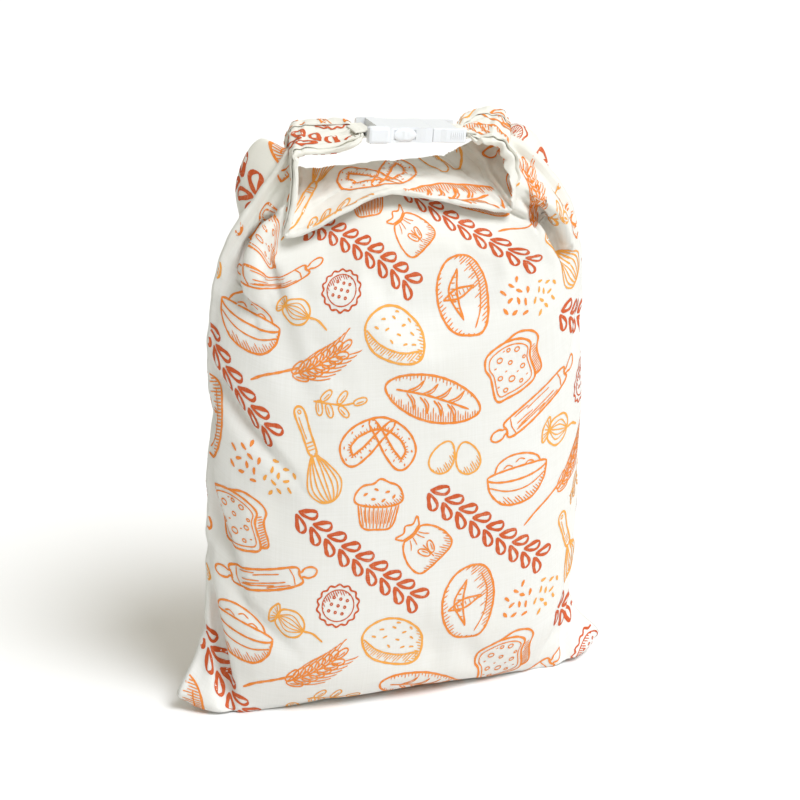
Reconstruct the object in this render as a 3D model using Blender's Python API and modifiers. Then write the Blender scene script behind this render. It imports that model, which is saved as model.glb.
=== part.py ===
"""A filled cotton bread bag that stands on its bottom, its mouth rolled down and
the ends of the roll bent up and clipped together by a side-release buckle, which
makes a carrying loop.

Metres, +Z up, front towards -Y. The origin is on the ground, under the middle of
the object's bounding box. Tables and sizes below are in millimetres.
"""

import bpy
import numpy as np

MM = 0.001

# Flat cloth: half the width of the sewn bag, and the length from the bottom fold
# to the line where the cloth enters the roll
HALF_FLAT = 170.0
SHOULDER_LENGTH = 325.0
CLOTH_LENGTH = 455.0
ACROSS = 40
ROW_GROUPS = ((0.0, 90.0, 11), (90.0, 310.0, 9), (310.0, 455.0, 21))

# Level sections of the filled part, a row for each length of cloth from the fold:
# half widths to both sides, depths to front and back, height of the middle and of
# the side seams, how far across the row stays level, and how square the section is,
# across and in depth
SECTION_COLUMNS = (
    "up", "left", "right", "front", "back", "middle", "seam", "level", "square", "flank"
)
SECTIONS = np.array([
    [0, 167, 166, 0, 0, 0, 1, 0.80, 9.0, 1.00],
    [14, 162, 163, 12, 14, 0, 12, 0.70, 9.0, 1.05],
    [26, 157, 154, 22, 25, 0, 24, 0.62, 8.0, 1.15],
    [40, 151, 147, 31, 34, 6, 38, 0.52, 6.5, 1.30],
    [56, 147, 144, 40, 42, 20, 54, 0.45, 5.2, 1.45],
    [76, 143, 144, 47, 48, 39, 74, 0.38, 4.4, 1.60],
    [115, 139, 144, 51, 52, 78, 112, 0.35, 3.8, 1.70],
    [200, 136, 145, 54, 54, 163, 196, 0.35, 3.3, 1.70],
    [270, 133, 145, 52, 54, 233, 266, 0.35, 3.1, 1.65],
    [325, 127, 142, 49, 53, 287, 316, 0.35, 3.0, 1.60],
], float)

# Where the bottom fold swings forward beside each ear: how far, its place across,
# its spread, and how far up the cloth it fades
EAR_FORWARD = 15.0
EAR_PLACE = 0.84
EAR_SPREAD = 0.14
EAR_TALL = 60.0

# The rolled mouth, a row for each section along it: its front edge, its back edge. It
# is thicker at both ends, where it goes round the buckle's bars
ROLL_THICK = 4.6
ROLL_END_THICK = 6.2
ROLL_END_LENGTH = 16.0
ROLL_LAYERS = 3
LAYER_GROOVE = 0.9
ROLL_STEPS = 2
ROLL_COLUMNS = ("front x", "front y", "front z", "back x", "back y", "back z")
ROLL = np.array([
    [-15.6, -12.4, 419.3, -15.6, 12.4, 419.3],
    [-23.5, -12.8, 419.8, -23.5, 12.8, 420.2],
    [-28.0, -18.5, 416.8, -27.0, 18.0, 422.6],
    [-40.0, -20.5, 413.6, -36.0, 21.5, 423.2],
    [-57.0, -21.5, 412.6, -46.0, 24.0, 422.8],
    [-71.0, -22.5, 413.2, -57.0, 25.0, 422.6],
    [-75.6, -23.0, 410.6, -63.5, 25.5, 420.0],
    [-76.4, -24.0, 403.0, -66.0, 25.0, 412.0],
    [-76.6, -25.5, 388.0, -67.0, 24.0, 402.0],
    [-78.6, -27.0, 375.0, -67.0, 22.5, 396.0],
    [-83.0, -28.5, 363.0, -64.5, 21.5, 392.5],
    [-84.0, -29.0, 357.6, -58.0, 20.5, 390.8],
    [-76.0, -29.5, 356.8, -50.0, 20.0, 390.2],
    [-61.0, -30.0, 360.8, -42.0, 20.0, 389.6],
    [-38.5, -30.5, 372.2, -28.0, 20.0, 389.2],
    [-14.0, -30.5, 380.9, -11.0, 20.0, 389.6],
    [10.0, -30.5, 377.0, 8.0, 20.0, 390.0],
    [34.0, -30.5, 371.0, 27.0, 20.0, 390.8],
    [58.0, -30.5, 364.6, 38.0, 20.0, 391.4],
    [74.0, -30.0, 361.0, 46.0, 20.0, 392.6],
    [80.0, -29.0, 363.0, 60.0, 21.0, 398.0],
    [82.0, -27.5, 372.0, 76.0, 22.0, 403.5],
    [82.6, -26.0, 384.0, 88.0, 23.0, 409.0],
    [80.2, -25.0, 396.0, 93.0, 24.5, 414.5],
    [75.5, -24.0, 405.0, 90.5, 25.5, 419.5],
    [69.5, -22.5, 410.0, 82.0, 26.0, 422.4],
    [61.0, -21.0, 410.8, 71.0, 25.0, 421.4],
    [55.5, -18.0, 411.6, 57.5, 19.0, 418.0],
    [51.5, -12.8, 413.9, 51.5, 12.8, 414.3],
    [43.8, -12.4, 414.7, 43.8, 12.4, 414.7],
], float)

# The rows of ROLL between which the front and the back panel enter it, and how the
# cloth arrives there: direction and length of its lead
FRONT_ROWS = (6.8, 23.2)
BACK_ROWS = (5.7, 23.9)
FRONT_STEEP = 0.14
FRONT_REACH = 150.0
BACK_LEAD = (0.0, -0.50, 0.85, 120.0)
LEFT_LEAD = (0.49, 0.10, 0.87, 118.0)
RIGHT_LEAD = (-0.78, 0.10, 0.60, 116.0)

# Fullness pushed out of the upper part: side (-1 front, 1 back), place across from
# -1 to 1, place up the cloth, spread across and up, and the push along each axis
BULGE_COLUMNS = ("side", "across", "up", "wide", "tall", "x", "y", "z")
BULGES = np.array([
    [1, -0.78, 422, 0.18, 32, -19, 12, 7],
    [1, -0.92, 438, 0.11, 22, -3, 6, 16],
    [-1, 0.84, 404, 0.15, 30, -3, -6, 6],
    [1, 0.80, 432, 0.20, 34, 0, 18, 14],
    [1, 0.92, 424, 0.13, 28, 14, 6, 1],
    [-1, -0.80, 364, 0.075, 24, -1, -8, 1],
], float)

# Main folds: side, both ends (across, up), half width and depth of the hollow
FOLD_COLUMNS = ("side", "across_1", "up_1", "across_2", "up_2", "width", "depth")
FOLDS = np.array([
    [-1, -0.84, 430, -0.91, 394, 0.022, 6.0],
    [-1, -0.91, 404, -0.88, 350, 0.026, 7.0],
    [-1, -0.70, 392, -0.69, 345, 0.040, 3.5],
    [-1, -0.88, 338, -0.70, 332, 0.034, 3.0],
    [-1, 0.62, 438, 0.77, 408, 0.030, 6.0],
    [-1, 0.76, 416, 0.83, 350, 0.034, 6.0],
    [-1, 0.92, 448, 0.86, 415, 0.020, 3.0],
    [1, -0.66, 425, -0.84, 350, 0.034, 6.0],
    [1, 0.66, 425, 0.86, 345, 0.034, 7.0],
    [1, -0.20, 435, -0.34, 370, 0.040, 3.0],
    [1, 0.24, 435, 0.36, 375, 0.040, 3.0],
    [-1, -0.97, 95, -0.80, 22, 0.040, 6.0],
    [-1, 0.97, 90, 0.82, 20, 0.040, 5.0],
    [1, -0.96, 90, -0.82, 24, 0.040, 5.0],
    [1, 0.96, 95, 0.80, 22, 0.040, 5.0],
], float)

# Side-release buckle for webbing 25 mm wide. It is drawn level and then tilted, its
# right end down, about the middle of its length
BUCKLE_MIDDLE = 14.1
BUCKLE_HEIGHT = 417.0
BUCKLE_TILT = 4.5
SHELL_THICK = 10.4
SHELL_HOLLOW = 6.8
FLANGE = ((-21.5, -6.0), 18.2, 12.0)
BAR_THICK = 3.0
BAR_ROOM = 0.4
SOCKET_BAR = (-21.5, -18.5)
SOCKET_SLOT = (-18.5, -14.9)
PRONG_SLOT = (43.1, 46.7)
PRONG_BAR = (46.7, 49.7)
SLOT_HALF = 13.2
SOCKET_OUTLINE = (
    (-21.5, 15.6), (-20.0, 16.8), (-5.0, 17.2), (-1.5, 15.4), (4.0, 14.4),
    (12.0, 14.4), (17.0, 15.4), (20.0, 15.8), (25.0, 15.8),
)
BASE_OUTLINE = ((25.4, 15.8), (31.0, 15.8), (35.0, 16.6), (48.6, 16.6), (49.7, 15.6))
ARM_OUTLINE = (
    (27.0, 8.0), (27.0, 12.2), (13.0, 12.2), (11.8, 13.6), (10.0, 15.6), (4.5, 16.6),
    (-0.5, 15.6), (-2.6, 13.0), (-2.6, 11.0), (4.0, 10.0), (14.0, 8.6),
)
ARM_THICK = 5.6
TONGUE = (4.0, 2.2, 4.6)
WINDOW = (-3.1, 13.4)
WINDOW_TALL = 6.8

CLOTH = (0.86, 0.83, 0.76, 1.0)
PLASTIC = (0.86, 0.89, 0.93, 1.0)


def clear_scene():
    for old in list(bpy.data.objects):
        bpy.data.objects.remove(old)


def collection_named(name):
    made = bpy.data.collections.new(name)
    bpy.context.scene.collection.children.link(made)
    return made


def material_named(name, colour, roughness):
    made = bpy.data.materials.new(name)
    made.use_nodes = True
    made.diffuse_color = colour
    shader = made.node_tree.nodes["Principled BSDF"]
    shader.inputs["Base Color"].default_value = colour
    shader.inputs["Roughness"].default_value = roughness
    shader.inputs["Metallic"].default_value = 0.0
    return made


def mesh_object(name, points, faces, material, group):
    mesh = bpy.data.meshes.new(name)
    mesh.from_pydata([tuple(p) for p in points * MM], [], [tuple(f) for f in faces])
    mesh.materials.append(material)
    made = bpy.data.objects.new(name, mesh)
    group.objects.link(made)
    return made


def helper(made):
    """Marks a cutter, or a shape that is joined to another."""
    made.hide_render = True
    made.display_type = "WIRE"
    return made


def boolean(made, other, operation):
    step = made.modifiers.new(operation.lower() + " " + other.name, "BOOLEAN")
    step.operation = operation
    step.object = other
    step.solver = "EXACT"


def bevel(made, width, segments):
    step = made.modifiers.new("edges", "BEVEL")
    step.width = width * MM
    step.segments = segments
    step.limit_method = "ANGLE"


def smooth_step(x):
    x = np.clip(x, 0.0, 1.0)
    return x * x * (3.0 - 2.0 * x)


def column(table, names, name, at):
    """The named column of a table at a place in its first column, on a cubic that
    doesn't overshoot the rows."""
    x = table[:, 0]
    y = table[:, names.index(name)]
    step = np.diff(x)
    slope = np.diff(y) / step
    both = slope[:-1] + slope[1:]
    inner = 2.0 * slope[:-1] * slope[1:] / np.where(both == 0.0, 1.0, both)
    inner = np.where(slope[:-1] * slope[1:] > 0.0, inner, 0.0)
    lead = np.concatenate([slope[:1], inner, slope[-1:]])
    i = int(np.clip(np.searchsorted(x, at, side="right") - 1, 0, len(x) - 2))
    u = (at - x[i]) / step[i]
    return (
        (1 + 2 * u) * (1 - u) ** 2 * y[i]
        + u * (1 - u) ** 2 * step[i] * lead[i]
        + u * u * (3 - 2 * u) * y[i + 1]
        + u * u * (u - 1) * step[i] * lead[i + 1]
    )


def quarter(across, half, depth, square, flank):
    """x and y on a quarter of |x/half|^square + |y/depth|^flank = 1, by its length:
    across 0 is the middle of the panel and 1 is the seam."""
    turn = np.linspace(0.0, np.pi / 2, 300)
    x = half * np.sin(turn) ** (2.0 / square)
    y = depth * np.cos(turn) ** (2.0 / flank)
    length = np.concatenate([[0.0], np.cumsum(np.hypot(np.diff(x), np.diff(y)))])
    length = length / length[-1]
    return np.interp(across, length, x), np.interp(across, length, y)


def level_section(across, up, side):
    """A row of points on one panel of the filled part."""
    left, right, front, back, middle, seam, level, square, flank = (
        column(SECTIONS, SECTION_COLUMNS, name, up) for name in SECTION_COLUMNS[1:]
    )
    depth = front if side < 0 else back
    away = np.abs(across)
    x_left, y_left = quarter(away, left, depth, square, flank)
    x_right, y_right = quarter(away, right, depth, square, flank)
    x = np.where(across < 0, -x_left, x_right)
    y = np.where(across < 0, y_left, y_right) * side
    rise = np.clip((away - level) / (1 - level), 0.0, 1.0) ** 2.2
    swing = EAR_FORWARD * np.exp(-(((away - EAR_PLACE) / EAR_SPREAD) ** 2))
    y = y - swing * smooth_step(1 - up / EAR_TALL)
    return np.stack([x, y, middle + (seam - middle) * rise], axis=-1)


def along_rows(table, at):
    """A smooth curve through the rows of a table: the cubic between two rows takes its
    leads from the rows on both sides of them."""
    i = np.clip(at.astype(int), 0, len(table) - 2)
    u = (at - i)[:, None]
    before = table[np.maximum(i - 1, 0)]
    start = table[i]
    end = table[i + 1]
    after = table[np.minimum(i + 2, len(table) - 1)]
    return start + 0.5 * u * (
        end - before + u * (2 * before - 5 * start + 4 * end - after + u * (3 * (start - end) + after - before))
    )


def run_along(points):
    """The length of a line of points up to each of them."""
    return np.concatenate([[0.0], np.cumsum(np.linalg.norm(np.diff(points, axis=0), axis=-1))])


def roll_line(across, side):
    """The line where a panel enters the roll, and the roll's direction from front to
    back there: nearly at its back edge under the loop's base, apart to front and back
    in the posts, where the bag's wings open, and together again at the side seams."""
    at = np.linspace(*(FRONT_ROWS if side < 0 else BACK_ROWS), 240)
    edges = along_rows(ROLL, at)
    run = run_along(0.5 * (edges[:, :3] + edges[:, 3:]))
    edges = along_rows(ROLL, np.interp(0.5 * (across + 1) * run[-1], run, at))
    away = np.abs(across)
    turned = smooth_step((away - 0.42) / 0.30)
    wing = turned * (1 - smooth_step((away - 0.82) / 0.18))
    share = 0.5 + side * (0.03 + 0.31 * wing) + (0.28 + 0.01 * side) * (1 - turned)
    wide = edges[:, 3:] - edges[:, :3]
    line = edges[:, :3] + share[:, None] * wide
    return line, wide / np.linalg.norm(wide, axis=-1, keepdims=True)


def panel(side):
    """Rows of points over one panel, from the bottom fold to the roll: level sections
    up to the shoulder, then p = h00 a + h10 a' + h01 b + h11 b' from the shoulder's
    row a to the roll's line b. Fullness and folds are added on top."""
    even = np.linspace(-1.0, 1.0, ACROSS + 1)
    across = 1.35 * even - 0.35 * even**3
    ups = np.unique(np.concatenate([np.linspace(*group) for group in ROW_GROUPS]))
    shoulder = level_section(across, SHOULDER_LENGTH, side)
    below = level_section(across, SHOULDER_LENGTH - 1.0, side)
    entry, wide = roll_line(across, side)
    leave = (shoulder - below) / np.linalg.norm(shoulder - below, axis=-1, keepdims=True)
    wing = smooth_step((np.abs(across) - 0.45) / 0.35)[:, None]
    under = wide + np.array([0.0, 0.0, FRONT_STEEP])
    under = under / np.linalg.norm(under, axis=-1, keepdims=True)
    middle = np.insert(under, 3, FRONT_REACH, axis=1) if side < 0 else np.array(BACK_LEAD)
    ends = np.where(across[:, None] < 0, np.array(LEFT_LEAD), np.array(RIGHT_LEAD))
    lead = middle * (1 - wing) + ends * wing
    arrive = lead[:, :3] * lead[:, 3:]
    leave = leave * lead[:, 3:]
    rows = []
    for up in ups:
        if up <= SHOULDER_LENGTH:
            rows.append(level_section(across, up, side))
            continue
        h = (up - SHOULDER_LENGTH) / (CLOTH_LENGTH - SHOULDER_LENGTH)
        rows.append(
            (1 + 2 * h) * (1 - h) ** 2 * shoulder
            + h * (1 - h) ** 2 * leave
            + h * h * (3 - 2 * h) * entry
            + h * h * (h - 1) * arrive
        )
    grid = np.array(rows)
    place, height = np.meshgrid(across, ups)
    return with_folds(with_bulges(grid, place, height, side), place, height, side)


def with_bulges(grid, place, height, side):
    held = smooth_step((1 - np.abs(place)) / 0.12) * smooth_step((CLOTH_LENGTH - height) / 14.0)
    for face, across, up, wide, tall, x, y, z in BULGES:
        if face == side:
            swell = np.exp(-(((place - across) / wide) ** 2) - ((height - up) / tall) ** 2)
            grid = grid + (swell * held)[..., None] * np.array([x, y, z])
    return grid


def with_folds(grid, place, height, side):
    normal = np.cross(np.gradient(grid, axis=1), np.gradient(grid, axis=0)) * -side
    normal = normal / np.maximum(np.linalg.norm(normal, axis=-1, keepdims=True), 1e-9)
    held = smooth_step((1 - np.abs(place)) / 0.06) * smooth_step((CLOTH_LENGTH - height) / 20.0)
    for face, across_1, up_1, across_2, up_2, width, depth in FOLDS:
        if face != side:
            continue
        run = np.array([(across_2 - across_1) * HALF_FLAT, up_2 - up_1])
        from_start = np.stack([(place - across_1) * HALF_FLAT, height - up_1], axis=-1)
        along = np.clip(from_start @ run / (run @ run), 0.0, 1.0)
        off = np.linalg.norm(from_start - along[..., None] * run, axis=-1)
        hollow = np.exp(-((off / (width * HALF_FLAT)) ** 2)) * np.sin(np.pi * (0.15 + 0.7 * along))
        grid = grid - (depth * hollow * held)[..., None] * normal
    return grid


def filled_body(material, group):
    """The two panels sewn at both sides and folded at the bottom, closed at the roll."""
    front = panel(-1)
    back = panel(1)
    seam = 0.5 * (front[:, [0, -1]] + back[:, [0, -1]])
    front[:, [0, -1]] = seam
    back[:, [0, -1]] = seam
    fold = 0.5 * (front[0] + back[0])
    fold[:, 2] = np.where(fold[:, 2] < 0.05, 0.0, fold[:, 2])
    front[0] = fold
    back[0] = fold
    loops = [np.concatenate([front[0], front[0][-2:0:-1]])]
    loops += [np.concatenate([f, b[-2:0:-1]]) for f, b in zip(front[1:], back[1:])]
    points = np.concatenate(loops)
    count = 2 * ACROSS
    faces = []
    last_row = len(loops) - 1
    for i in range(last_row):
        for j in range(count):
            low = [i * count + j, i * count + (j + 1) % count]
            high = [(i + 1) * count + (j + 1) % count, (i + 1) * count + j]
            if i == 0:
                low = [min(k, count - k) if k else 0 for k in low]
            faces.append(list(dict.fromkeys(low + high)))
    last = last_row * count
    for j in range(ACROSS):
        ring = [last + j, last + j + 1, last + (count - j - 1) % count, last + (count - j) % count]
        faces.append(list(dict.fromkeys(ring)))
    used = sorted({k for face in faces for k in face})
    renumbered = {old: new for new, old in enumerate(used)}
    faces = [[renumbered[k] for k in face] for face in faces]
    return mesh_object("bag", points[used], faces, material, group)


def roll_section(count=4):
    """The section of the wound cloth in a unit frame: x from the front edge at -1 to
    the back edge at 1 in units of the half width, y in units of the thickness. Each
    edge shows the rounded folds of the layers."""
    edge = []
    for layer in range(ROLL_LAYERS):
        centre = (layer + 0.5) / ROLL_LAYERS - 0.5
        turn = np.linspace(-np.pi / 2, np.pi / 2, count)
        inner = turn if layer == ROLL_LAYERS - 1 else turn[:-1]
        for angle in inner:
            edge.append((np.cos(angle) - 1.0, centre + 0.5 * np.sin(angle) / ROLL_LAYERS))
    return np.array(edge)


def rolled_top(material, group):
    """The wound section carried through the rows of ROLL on a smooth curve."""
    rows = len(ROLL)
    curve = along_rows(ROLL, np.linspace(0.0, rows - 1.0, (rows - 1) * ROLL_STEPS + 1))
    front = curve[:, :3]
    back = curve[:, 3:]
    middle = 0.5 * (front + back)
    wide = back - front
    half = 0.5 * np.linalg.norm(wide, axis=-1, keepdims=True)
    wide = wide / (2 * half)
    forward = np.gradient(middle, axis=0)
    thick = np.cross(forward, wide)
    thick = thick / np.linalg.norm(thick, axis=-1, keepdims=True)
    run = run_along(middle)
    ends = 1 - smooth_step(np.minimum(run, run[-1] - run) / ROLL_END_LENGTH)
    tall = ROLL_THICK + (ROLL_END_THICK - ROLL_THICK) * ends
    edge = roll_section()
    loops = []
    for m, w, n, h, t in zip(middle, wide, thick, half[:, 0], tall):
        rounding = edge[:, :1] * LAYER_GROOVE
        height = edge[:, 1:] * t
        back_edge = m + (h + rounding) * w + height * n
        front_edge = m - (h + rounding) * w + height * n
        loops.append(np.concatenate([back_edge, front_edge[::-1]]))
    count = len(loops[0])
    points = np.concatenate(loops)
    faces = []
    for a in range(len(loops) - 1):
        for b in range(count):
            c = (b + 1) % count
            faces.append([a * count + b, a * count + c, (a + 1) * count + c, (a + 1) * count + b])
    faces.append([k for k in range(count)][::-1])
    faces.append([(len(loops) - 1) * count + k for k in range(count)])
    return mesh_object("rolled mouth", points, faces, material, group)


def prism(name, outline, low, high, material, group):
    """A plate of the buckle with this plan, between two heights, drawn level about the
    buckle's middle and then tilted with it."""
    count = len(outline)
    points = np.array([(x, y, z) for z in (low, high) for x, y in outline], float)
    faces = [list(range(count))[::-1], list(range(count, 2 * count))]
    for k in range(count):
        n = (k + 1) % count
        faces.append([k, n, count + n, count + k])
    middle = np.array([BUCKLE_MIDDLE, 0.0, BUCKLE_HEIGHT])
    made = mesh_object(name, points - middle, faces, material, group)
    made.location = middle * MM
    made.rotation_euler.y = np.radians(BUCKLE_TILT)
    return made


def mirrored(half):
    """A closed plan, anticlockwise, from the outline of its back half, left to right."""
    lower = [(x, -y) for x, y in half]
    upper = [(x, y) for x, y in reversed(half)]
    return lower + upper


def block(name, x, y, z, material, group):
    plan = [(x[0], y[0]), (x[1], y[0]), (x[1], y[1]), (x[0], y[1])]
    return prism(name, plan, z[0], z[1], material, group)


def around(centre, size):
    return (centre - size / 2, centre + size / 2)


def buckle(material, group, helpers):
    """The socket with its hollow, side windows and slot, and the prongs inside it."""
    mid = BUCKLE_HEIGHT
    full = around(mid, SHELL_THICK)
    slot_y = (-SLOT_HALF, SLOT_HALF)
    over = (mid - 20.0, mid + 20.0)
    socket = prism("buckle_socket", mirrored(SOCKET_OUTLINE), full[0], full[1], material, group)
    length, half, tall = FLANGE
    flange = block("socket flange", length, (-half, half), around(mid, tall), material, helpers)
    bevel(flange, 2.2, 2)
    boolean(socket, helper(flange), "UNION")
    bevel(socket, 1.2, 2)
    cuts = [
        ("socket slot", SOCKET_SLOT, slot_y, over),
        ("socket hollow", (-5.0, 26.0), (-12.6, 12.6), around(mid, SHELL_HOLLOW)),
        ("socket windows", WINDOW, (-20.0, 20.0), around(mid, WINDOW_TALL)),
        ("over bar", (-25.0, -18.5), slot_y, (mid + BAR_THICK / 2, mid + 20.0)),
        ("under bar", (-25.0, -18.5), slot_y, (mid - 20.0, mid - BAR_THICK / 2)),
    ]
    for name, x, y, z in cuts:
        boolean(socket, helper(block(name, x, y, z, material, helpers)), "DIFFERENCE")
    prongs = prism("buckle_prongs", mirrored(BASE_OUTLINE), full[0] + 0.3, full[1] - 0.3, material, group)
    bevel(prongs, 1.4, 3)
    cuts = [
        ("prong slot", PRONG_SLOT, slot_y, over),
        ("over prong bar", (46.6, 55.0), slot_y, (mid + BAR_THICK / 2, mid + 20.0)),
        ("under prong bar", (46.6, 55.0), slot_y, (mid - 20.0, mid - BAR_THICK / 2)),
    ]
    for name, x, y, z in cuts:
        boolean(prongs, helper(block(name, x, y, z, material, helpers)), "DIFFERENCE")
    low, high = around(mid, ARM_THICK)
    back_arm = prism("back arm", list(reversed(ARM_OUTLINE)), low, high, material, helpers)
    front_plan = [(x, -y) for x, y in ARM_OUTLINE]
    front_arm = prism("front arm", front_plan, low, high, material, helpers)
    start, half, tall = TONGUE
    tongue = block("tongue", (start, 27.0), (-half, half), around(mid, tall), material, helpers)
    for piece in (back_arm, front_arm, tongue):
        boolean(prongs, helper(piece), "UNION")
    return socket, prongs


def bar_room(name, bar, material, helpers):
    """The room that the cloth leaves round a bar of the buckle."""
    x = (bar[0] - BAR_ROOM, bar[1] + BAR_ROOM)
    z = around(BUCKLE_HEIGHT, BAR_THICK + 2 * BAR_ROOM)
    return helper(block(name, x, (-30.0, 30.0), z, material, helpers))


def main():
    clear_scene()
    group = collection_named("bread bag")
    helpers = collection_named("helpers")
    cloth = material_named("cotton", CLOTH, 0.85)
    plastic = material_named("white plastic", PLASTIC, 0.35)
    bag = filled_body(cloth, group)
    roll = helper(rolled_top(cloth, helpers))
    boolean(bag, roll, "UNION")
    boolean(bag, bar_room("socket bar room", SOCKET_BAR, cloth, helpers), "DIFFERENCE")
    boolean(bag, bar_room("prong bar room", PRONG_BAR, cloth, helpers), "DIFFERENCE")
    for face in bag.data.polygons:
        face.use_smooth = True
    buckle(plastic, group, helpers)
    helpers.hide_render = True


main()
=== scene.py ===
"""A filled cotton bread bag, its mouth rolled down and its ends clipped into a loop."""

import bpy
import numpy as np
from mathutils import Matrix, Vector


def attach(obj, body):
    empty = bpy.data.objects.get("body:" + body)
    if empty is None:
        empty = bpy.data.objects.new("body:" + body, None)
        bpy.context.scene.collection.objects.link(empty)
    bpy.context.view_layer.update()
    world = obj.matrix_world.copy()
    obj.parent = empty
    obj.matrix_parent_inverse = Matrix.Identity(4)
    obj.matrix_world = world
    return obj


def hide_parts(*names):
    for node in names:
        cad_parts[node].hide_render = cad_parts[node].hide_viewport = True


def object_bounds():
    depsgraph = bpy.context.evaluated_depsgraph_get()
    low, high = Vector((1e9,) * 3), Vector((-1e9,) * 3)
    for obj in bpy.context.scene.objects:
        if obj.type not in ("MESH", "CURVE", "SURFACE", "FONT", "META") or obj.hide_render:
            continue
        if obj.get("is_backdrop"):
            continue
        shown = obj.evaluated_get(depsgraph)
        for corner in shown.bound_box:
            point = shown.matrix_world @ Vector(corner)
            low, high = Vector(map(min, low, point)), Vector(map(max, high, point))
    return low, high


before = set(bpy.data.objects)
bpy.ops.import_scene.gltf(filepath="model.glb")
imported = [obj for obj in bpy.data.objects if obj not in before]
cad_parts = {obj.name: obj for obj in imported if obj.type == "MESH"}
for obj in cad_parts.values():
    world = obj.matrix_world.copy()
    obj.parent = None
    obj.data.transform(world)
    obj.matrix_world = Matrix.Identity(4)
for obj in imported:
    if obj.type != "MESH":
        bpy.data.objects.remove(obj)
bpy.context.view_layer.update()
bpy.context.scene.view_settings.view_transform = "Standard"

# Bag: one length of pale cotton canvas, folded at the bottom and sewn up both sides
# inside out, so each side shows a plain puckered seam. It is filled, it stands on its
# fold with an ear at each corner, and its upper part runs into the rolled mouth.

MM = 0.001
# Half the flat width, the lengths up the cloth to the shoulder and to the roll, and the
# grid's step
HALF_FLAT = 170.0
SHOULDER_LENGTH = 325.0
CLOTH_LENGTH = 455.0
GRID = 2.0

# The filled part, a row for each length up the cloth: half widths, half depths, height of
# the panel's middle and of the seam, the share of the way across from which the cloth
# rises to the seam, and the two powers of the outline
SECTION_COLUMNS = (
    "up", "left", "right", "front", "back", "middle", "seam", "level", "square", "flank"
)
SECTIONS = np.array([
    [0, 161, 162, 0, 0, 0, 8, 0.84, 9, 1.00],
    [6, 164, 164, 5, 6, 0, 11, 0.8, 9, 1.02],
    [14, 162, 162, 12, 14, 0, 16, 0.74, 9, 1.05],
    [26, 157, 154, 22, 25, 0, 26, 0.64, 8, 1.15],
    [40, 151, 147, 31, 34, 6, 38, 0.52, 6.5, 1.3],
    [56, 147, 144, 40, 42, 20, 54, 0.45, 5.2, 1.45],
    [76, 143, 144, 47, 48, 39, 74, 0.38, 4.4, 1.6],
    [115, 139, 144, 51, 52, 78, 112, 0.35, 3.8, 1.7],
    [200, 136, 145, 54, 54, 163, 196, 0.35, 3.3, 1.7],
    [270, 133, 145, 52, 54, 233, 266, 0.35, 3.1, 1.65],
    [325, 127, 142, 49, 53, 287, 316, 0.35, 3, 1.6],
], float)
# The left flank is rounder, by this factor on the outline's first power, and the bottom
# rises to the seam by a power of the way across
LEFT_ROUNDER = 0.76
SEAM_RISE = 2.2
# The ears at the bottom swing forward: how far, at which share of the way across, over
# which spread, and up to which length
EAR_FORWARD = 15.0
EAR_PLACE = 0.84
EAR_SPREAD = 0.14
EAR_TALL = 60.0

# The roll that the cloth runs into, a row for each section along it: x, y and z of its
# front edge, then x, y and z of its back edge
ROLL = np.array([
    [-15.6, -12.4, 419.3, -15.6, 12.4, 419.3],
    [-23.5, -12.8, 419.8, -23.5, 12.8, 420.2],
    [-28, -18.5, 416.8, -27, 18, 422.6],
    [-40, -20.5, 413.6, -36, 21.5, 423.2],
    [-57, -21.5, 412.6, -46, 24, 422.8],
    [-71, -22.5, 413.2, -57, 25, 422.6],
    [-75.6, -23, 410.6, -63.5, 25.5, 420],
    [-76.4, -24, 403, -66, 25, 412],
    [-76.6, -25.5, 388, -67, 24, 402],
    [-78.6, -27, 375, -67, 22.5, 396],
    [-83, -28.5, 363, -64.5, 21.5, 392.5],
    [-84, -29, 357.6, -58, 20.5, 390.8],
    [-76, -29.5, 356.8, -50, 20, 390.2],
    [-61, -30, 360.8, -42, 20, 389.6],
    [-38.5, -30.5, 372.2, -28, 20, 389.2],
    [-14, -30.5, 380.9, -11, 20, 389.6],
    [10, -30.5, 377, 8, 20, 390],
    [34, -30.5, 371, 27, 20, 390.8],
    [58, -30.5, 364.6, 38, 20, 391.4],
    [74, -30, 361, 46, 20, 392.6],
    [80, -29, 363, 60, 21, 398],
    [82, -27.5, 372, 76, 22, 403.5],
    [82.6, -26, 384, 88, 23, 409],
    [80.2, -25, 396, 93, 24.5, 414.5],
    [75.5, -24, 405, 90.5, 25.5, 419.5],
    [69.5, -22.5, 410, 82, 26, 422.4],
    [61, -21, 410.8, 71, 25, 421.4],
    [55.5, -18, 411.6, 57.5, 19, 418],
    [51.5, -12.8, 413.9, 51.5, 12.8, 414.3],
    [43.8, -12.4, 414.7, 43.8, 12.4, 414.7],
], float)

# The rows of ROLL between which the front and the back panel enter it, and the shares of
# the way across where it turns up into a post, and where a wing goes down to the seam
FRONT_ROWS = (6.8, 23.2)
BACK_ROWS = (5.7, 23.9)
TO_POST = (0.42, 0.30)
TO_SEAM = (0.82, 0.18)
# How far the panels are from the roll's middle at the seams and in the wings, how far
# behind it both are under the base, and how far apart there, as shares of its width
SEAM_APART = 0.03
WING_APART = 0.31
BASE_BEHIND = 0.28
BASE_APART = 0.01
# How the cloth arrives there. The front panel's middle runs along the roll's width, turned
# up by FRONT_STEEP, with a lead FRONT_REACH long. The other leads are a direction and a
# length, and those of the two ends take over on this stretch of the way across.
FRONT_STEEP = 0.14
FRONT_REACH = 150.0
BACK_LEAD = (0.0, -0.50, 0.85, 120.0)
LEFT_LEAD = (0.49, 0.10, 0.87, 118.0)
RIGHT_LEAD = (-0.78, 0.10, 0.60, 116.0)
TO_ENDS = (0.45, 0.35)

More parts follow.
